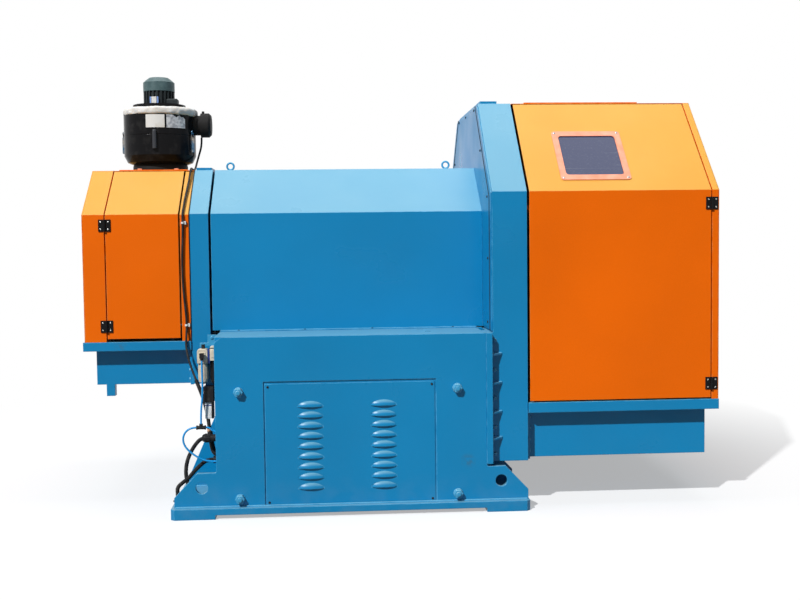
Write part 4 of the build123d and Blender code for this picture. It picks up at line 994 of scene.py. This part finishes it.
# Cable hoses: black corrugated conduit of 17 mm from glands in the end wall down to glands in
# the floor plate.
upper_hose_route = [
    (-0.585, -0.650, 0.293), (-0.608, -0.650, 0.293), (-0.632, -0.651, 0.268), (-0.652, -0.652, 0.236),
    (-0.667, -0.653, 0.200), (-0.673, -0.652, 0.162), (-0.671, -0.650, 0.124), (-0.660, -0.646, 0.092),
    (-0.660, -0.646, 0.060),
]
lower_hose_route = [
    (-0.556, -0.690, 0.212), (-0.580, -0.690, 0.212), (-0.608, -0.694, 0.192), (-0.634, -0.697, 0.166),
    (-0.658, -0.699, 0.138), (-0.684, -0.698, 0.120), (-0.703, -0.694, 0.101), (-0.703, -0.686, 0.076),
    (-0.703, -0.686, 0.058),
]
hose_radius, groove_depth, corrugation = 0.0085, 0.0013, 0.0044


def fine_line(route):
    """Points a quarter of a corrugation apart along the smooth line through a route."""
    thing = bpy.data.objects.new("line", routed("line", [route], 24))
    mesh = bpy.data.meshes.new_from_object(thing)
    points = [vertex.co.copy() for vertex in mesh.vertices]
    bpy.data.objects.remove(thing)
    bpy.data.meshes.remove(mesh)
    gap = corrugation / 4
    spaced = [points[0]]
    carried = 0.0
    for start, end in zip(points, points[1:]):
        run = (end - start).length
        while carried + run >= gap and run > 0:
            start = start.lerp(end, (gap - carried) / run)
            run = (end - start).length
            spaced.append(start)
            carried = 0.0
        carried += run
    return spaced + [points[-1]]


def corrugated(form, line, radius):
    """Hose along a fine line, with a groove to every four of its points."""
    grooves = (0, 0.35, 1, 0.35)
    sleeve(form, line, [radius - groove_depth * grooves[k % 4] for k in range(len(line))], sides=18)


hoses = bmesh.new()
for route in (upper_hose_route, lower_hose_route):
    corrugated(hoses, fine_line(route), hose_radius)
piece("corrugated_hoses", hoses, black_rubber, replaces=["cable_hoses"], sharp=60)


# Sleeves: the power cable runs down into a corrugated one, and that into a thicker one below
# a brass ferrule. The upper hose ends in a round knurled connector.
def cable_stretch(low_z, high_z):
    """The points of the power cable's lower run between two heights."""
    return [point for point in cable_line if low_z <= point.z <= high_z and point.y < -0.53]


cable_line = fine_line(power_cable_route)
conduits = bmesh.new()
for low_z, high_z, conduit_radius in ((0.326, 0.52, 0.0082), (0.2185, 0.316, 0.0112)):
    corrugated(conduits, cable_stretch(low_z, high_z), conduit_radius)
piece("cable_conduits", conduits, black_rubber, sharp=60)
brass = mottled("brass_ferrule", (0.62, 0.34, 0.2), (0.75, 0.5, 0.34), (120, 2), 0.35, metallic=1)
ferrule = bmesh.new()
sleeve(ferrule, cable_stretch(0.3155, 0.3265), 0.0106, sides=20)
piece("conduit_ferrule", ferrule, brass)
wall_nut, floor_nut = (0.034, 0.008, 0.001), (0.032, 0.007, 0.001)
gland_nuts = bmesh.new()
connector_seat = aim((-0.572, -0.65, 0.293), (-1, 0, 0))
prism(gland_nuts, knurled(0.0185, 0.0172, 5), 0.02, connector_seat)
taper = [(0, 0.02), (0.0172, 0.02), (0.0155, 0.027), (0.0105, 0.032), (0, 0.032)]
turned(gland_nuts, taper, connector_seat)
for route, y, z in ((upper_hose_route, -0.65, 0.293), (lower_hose_route, -0.69, 0.212)):
    hexagon(gland_nuts, aim((end_wall_x, y, z), (-1, 0, 0)), *wall_nut)
    hexagon(gland_nuts, aim((*route[-1][:2], plate_top), (0, 0, 1)), *floor_nut)
piece("gland_nuts", gland_nuts, black_moulding)
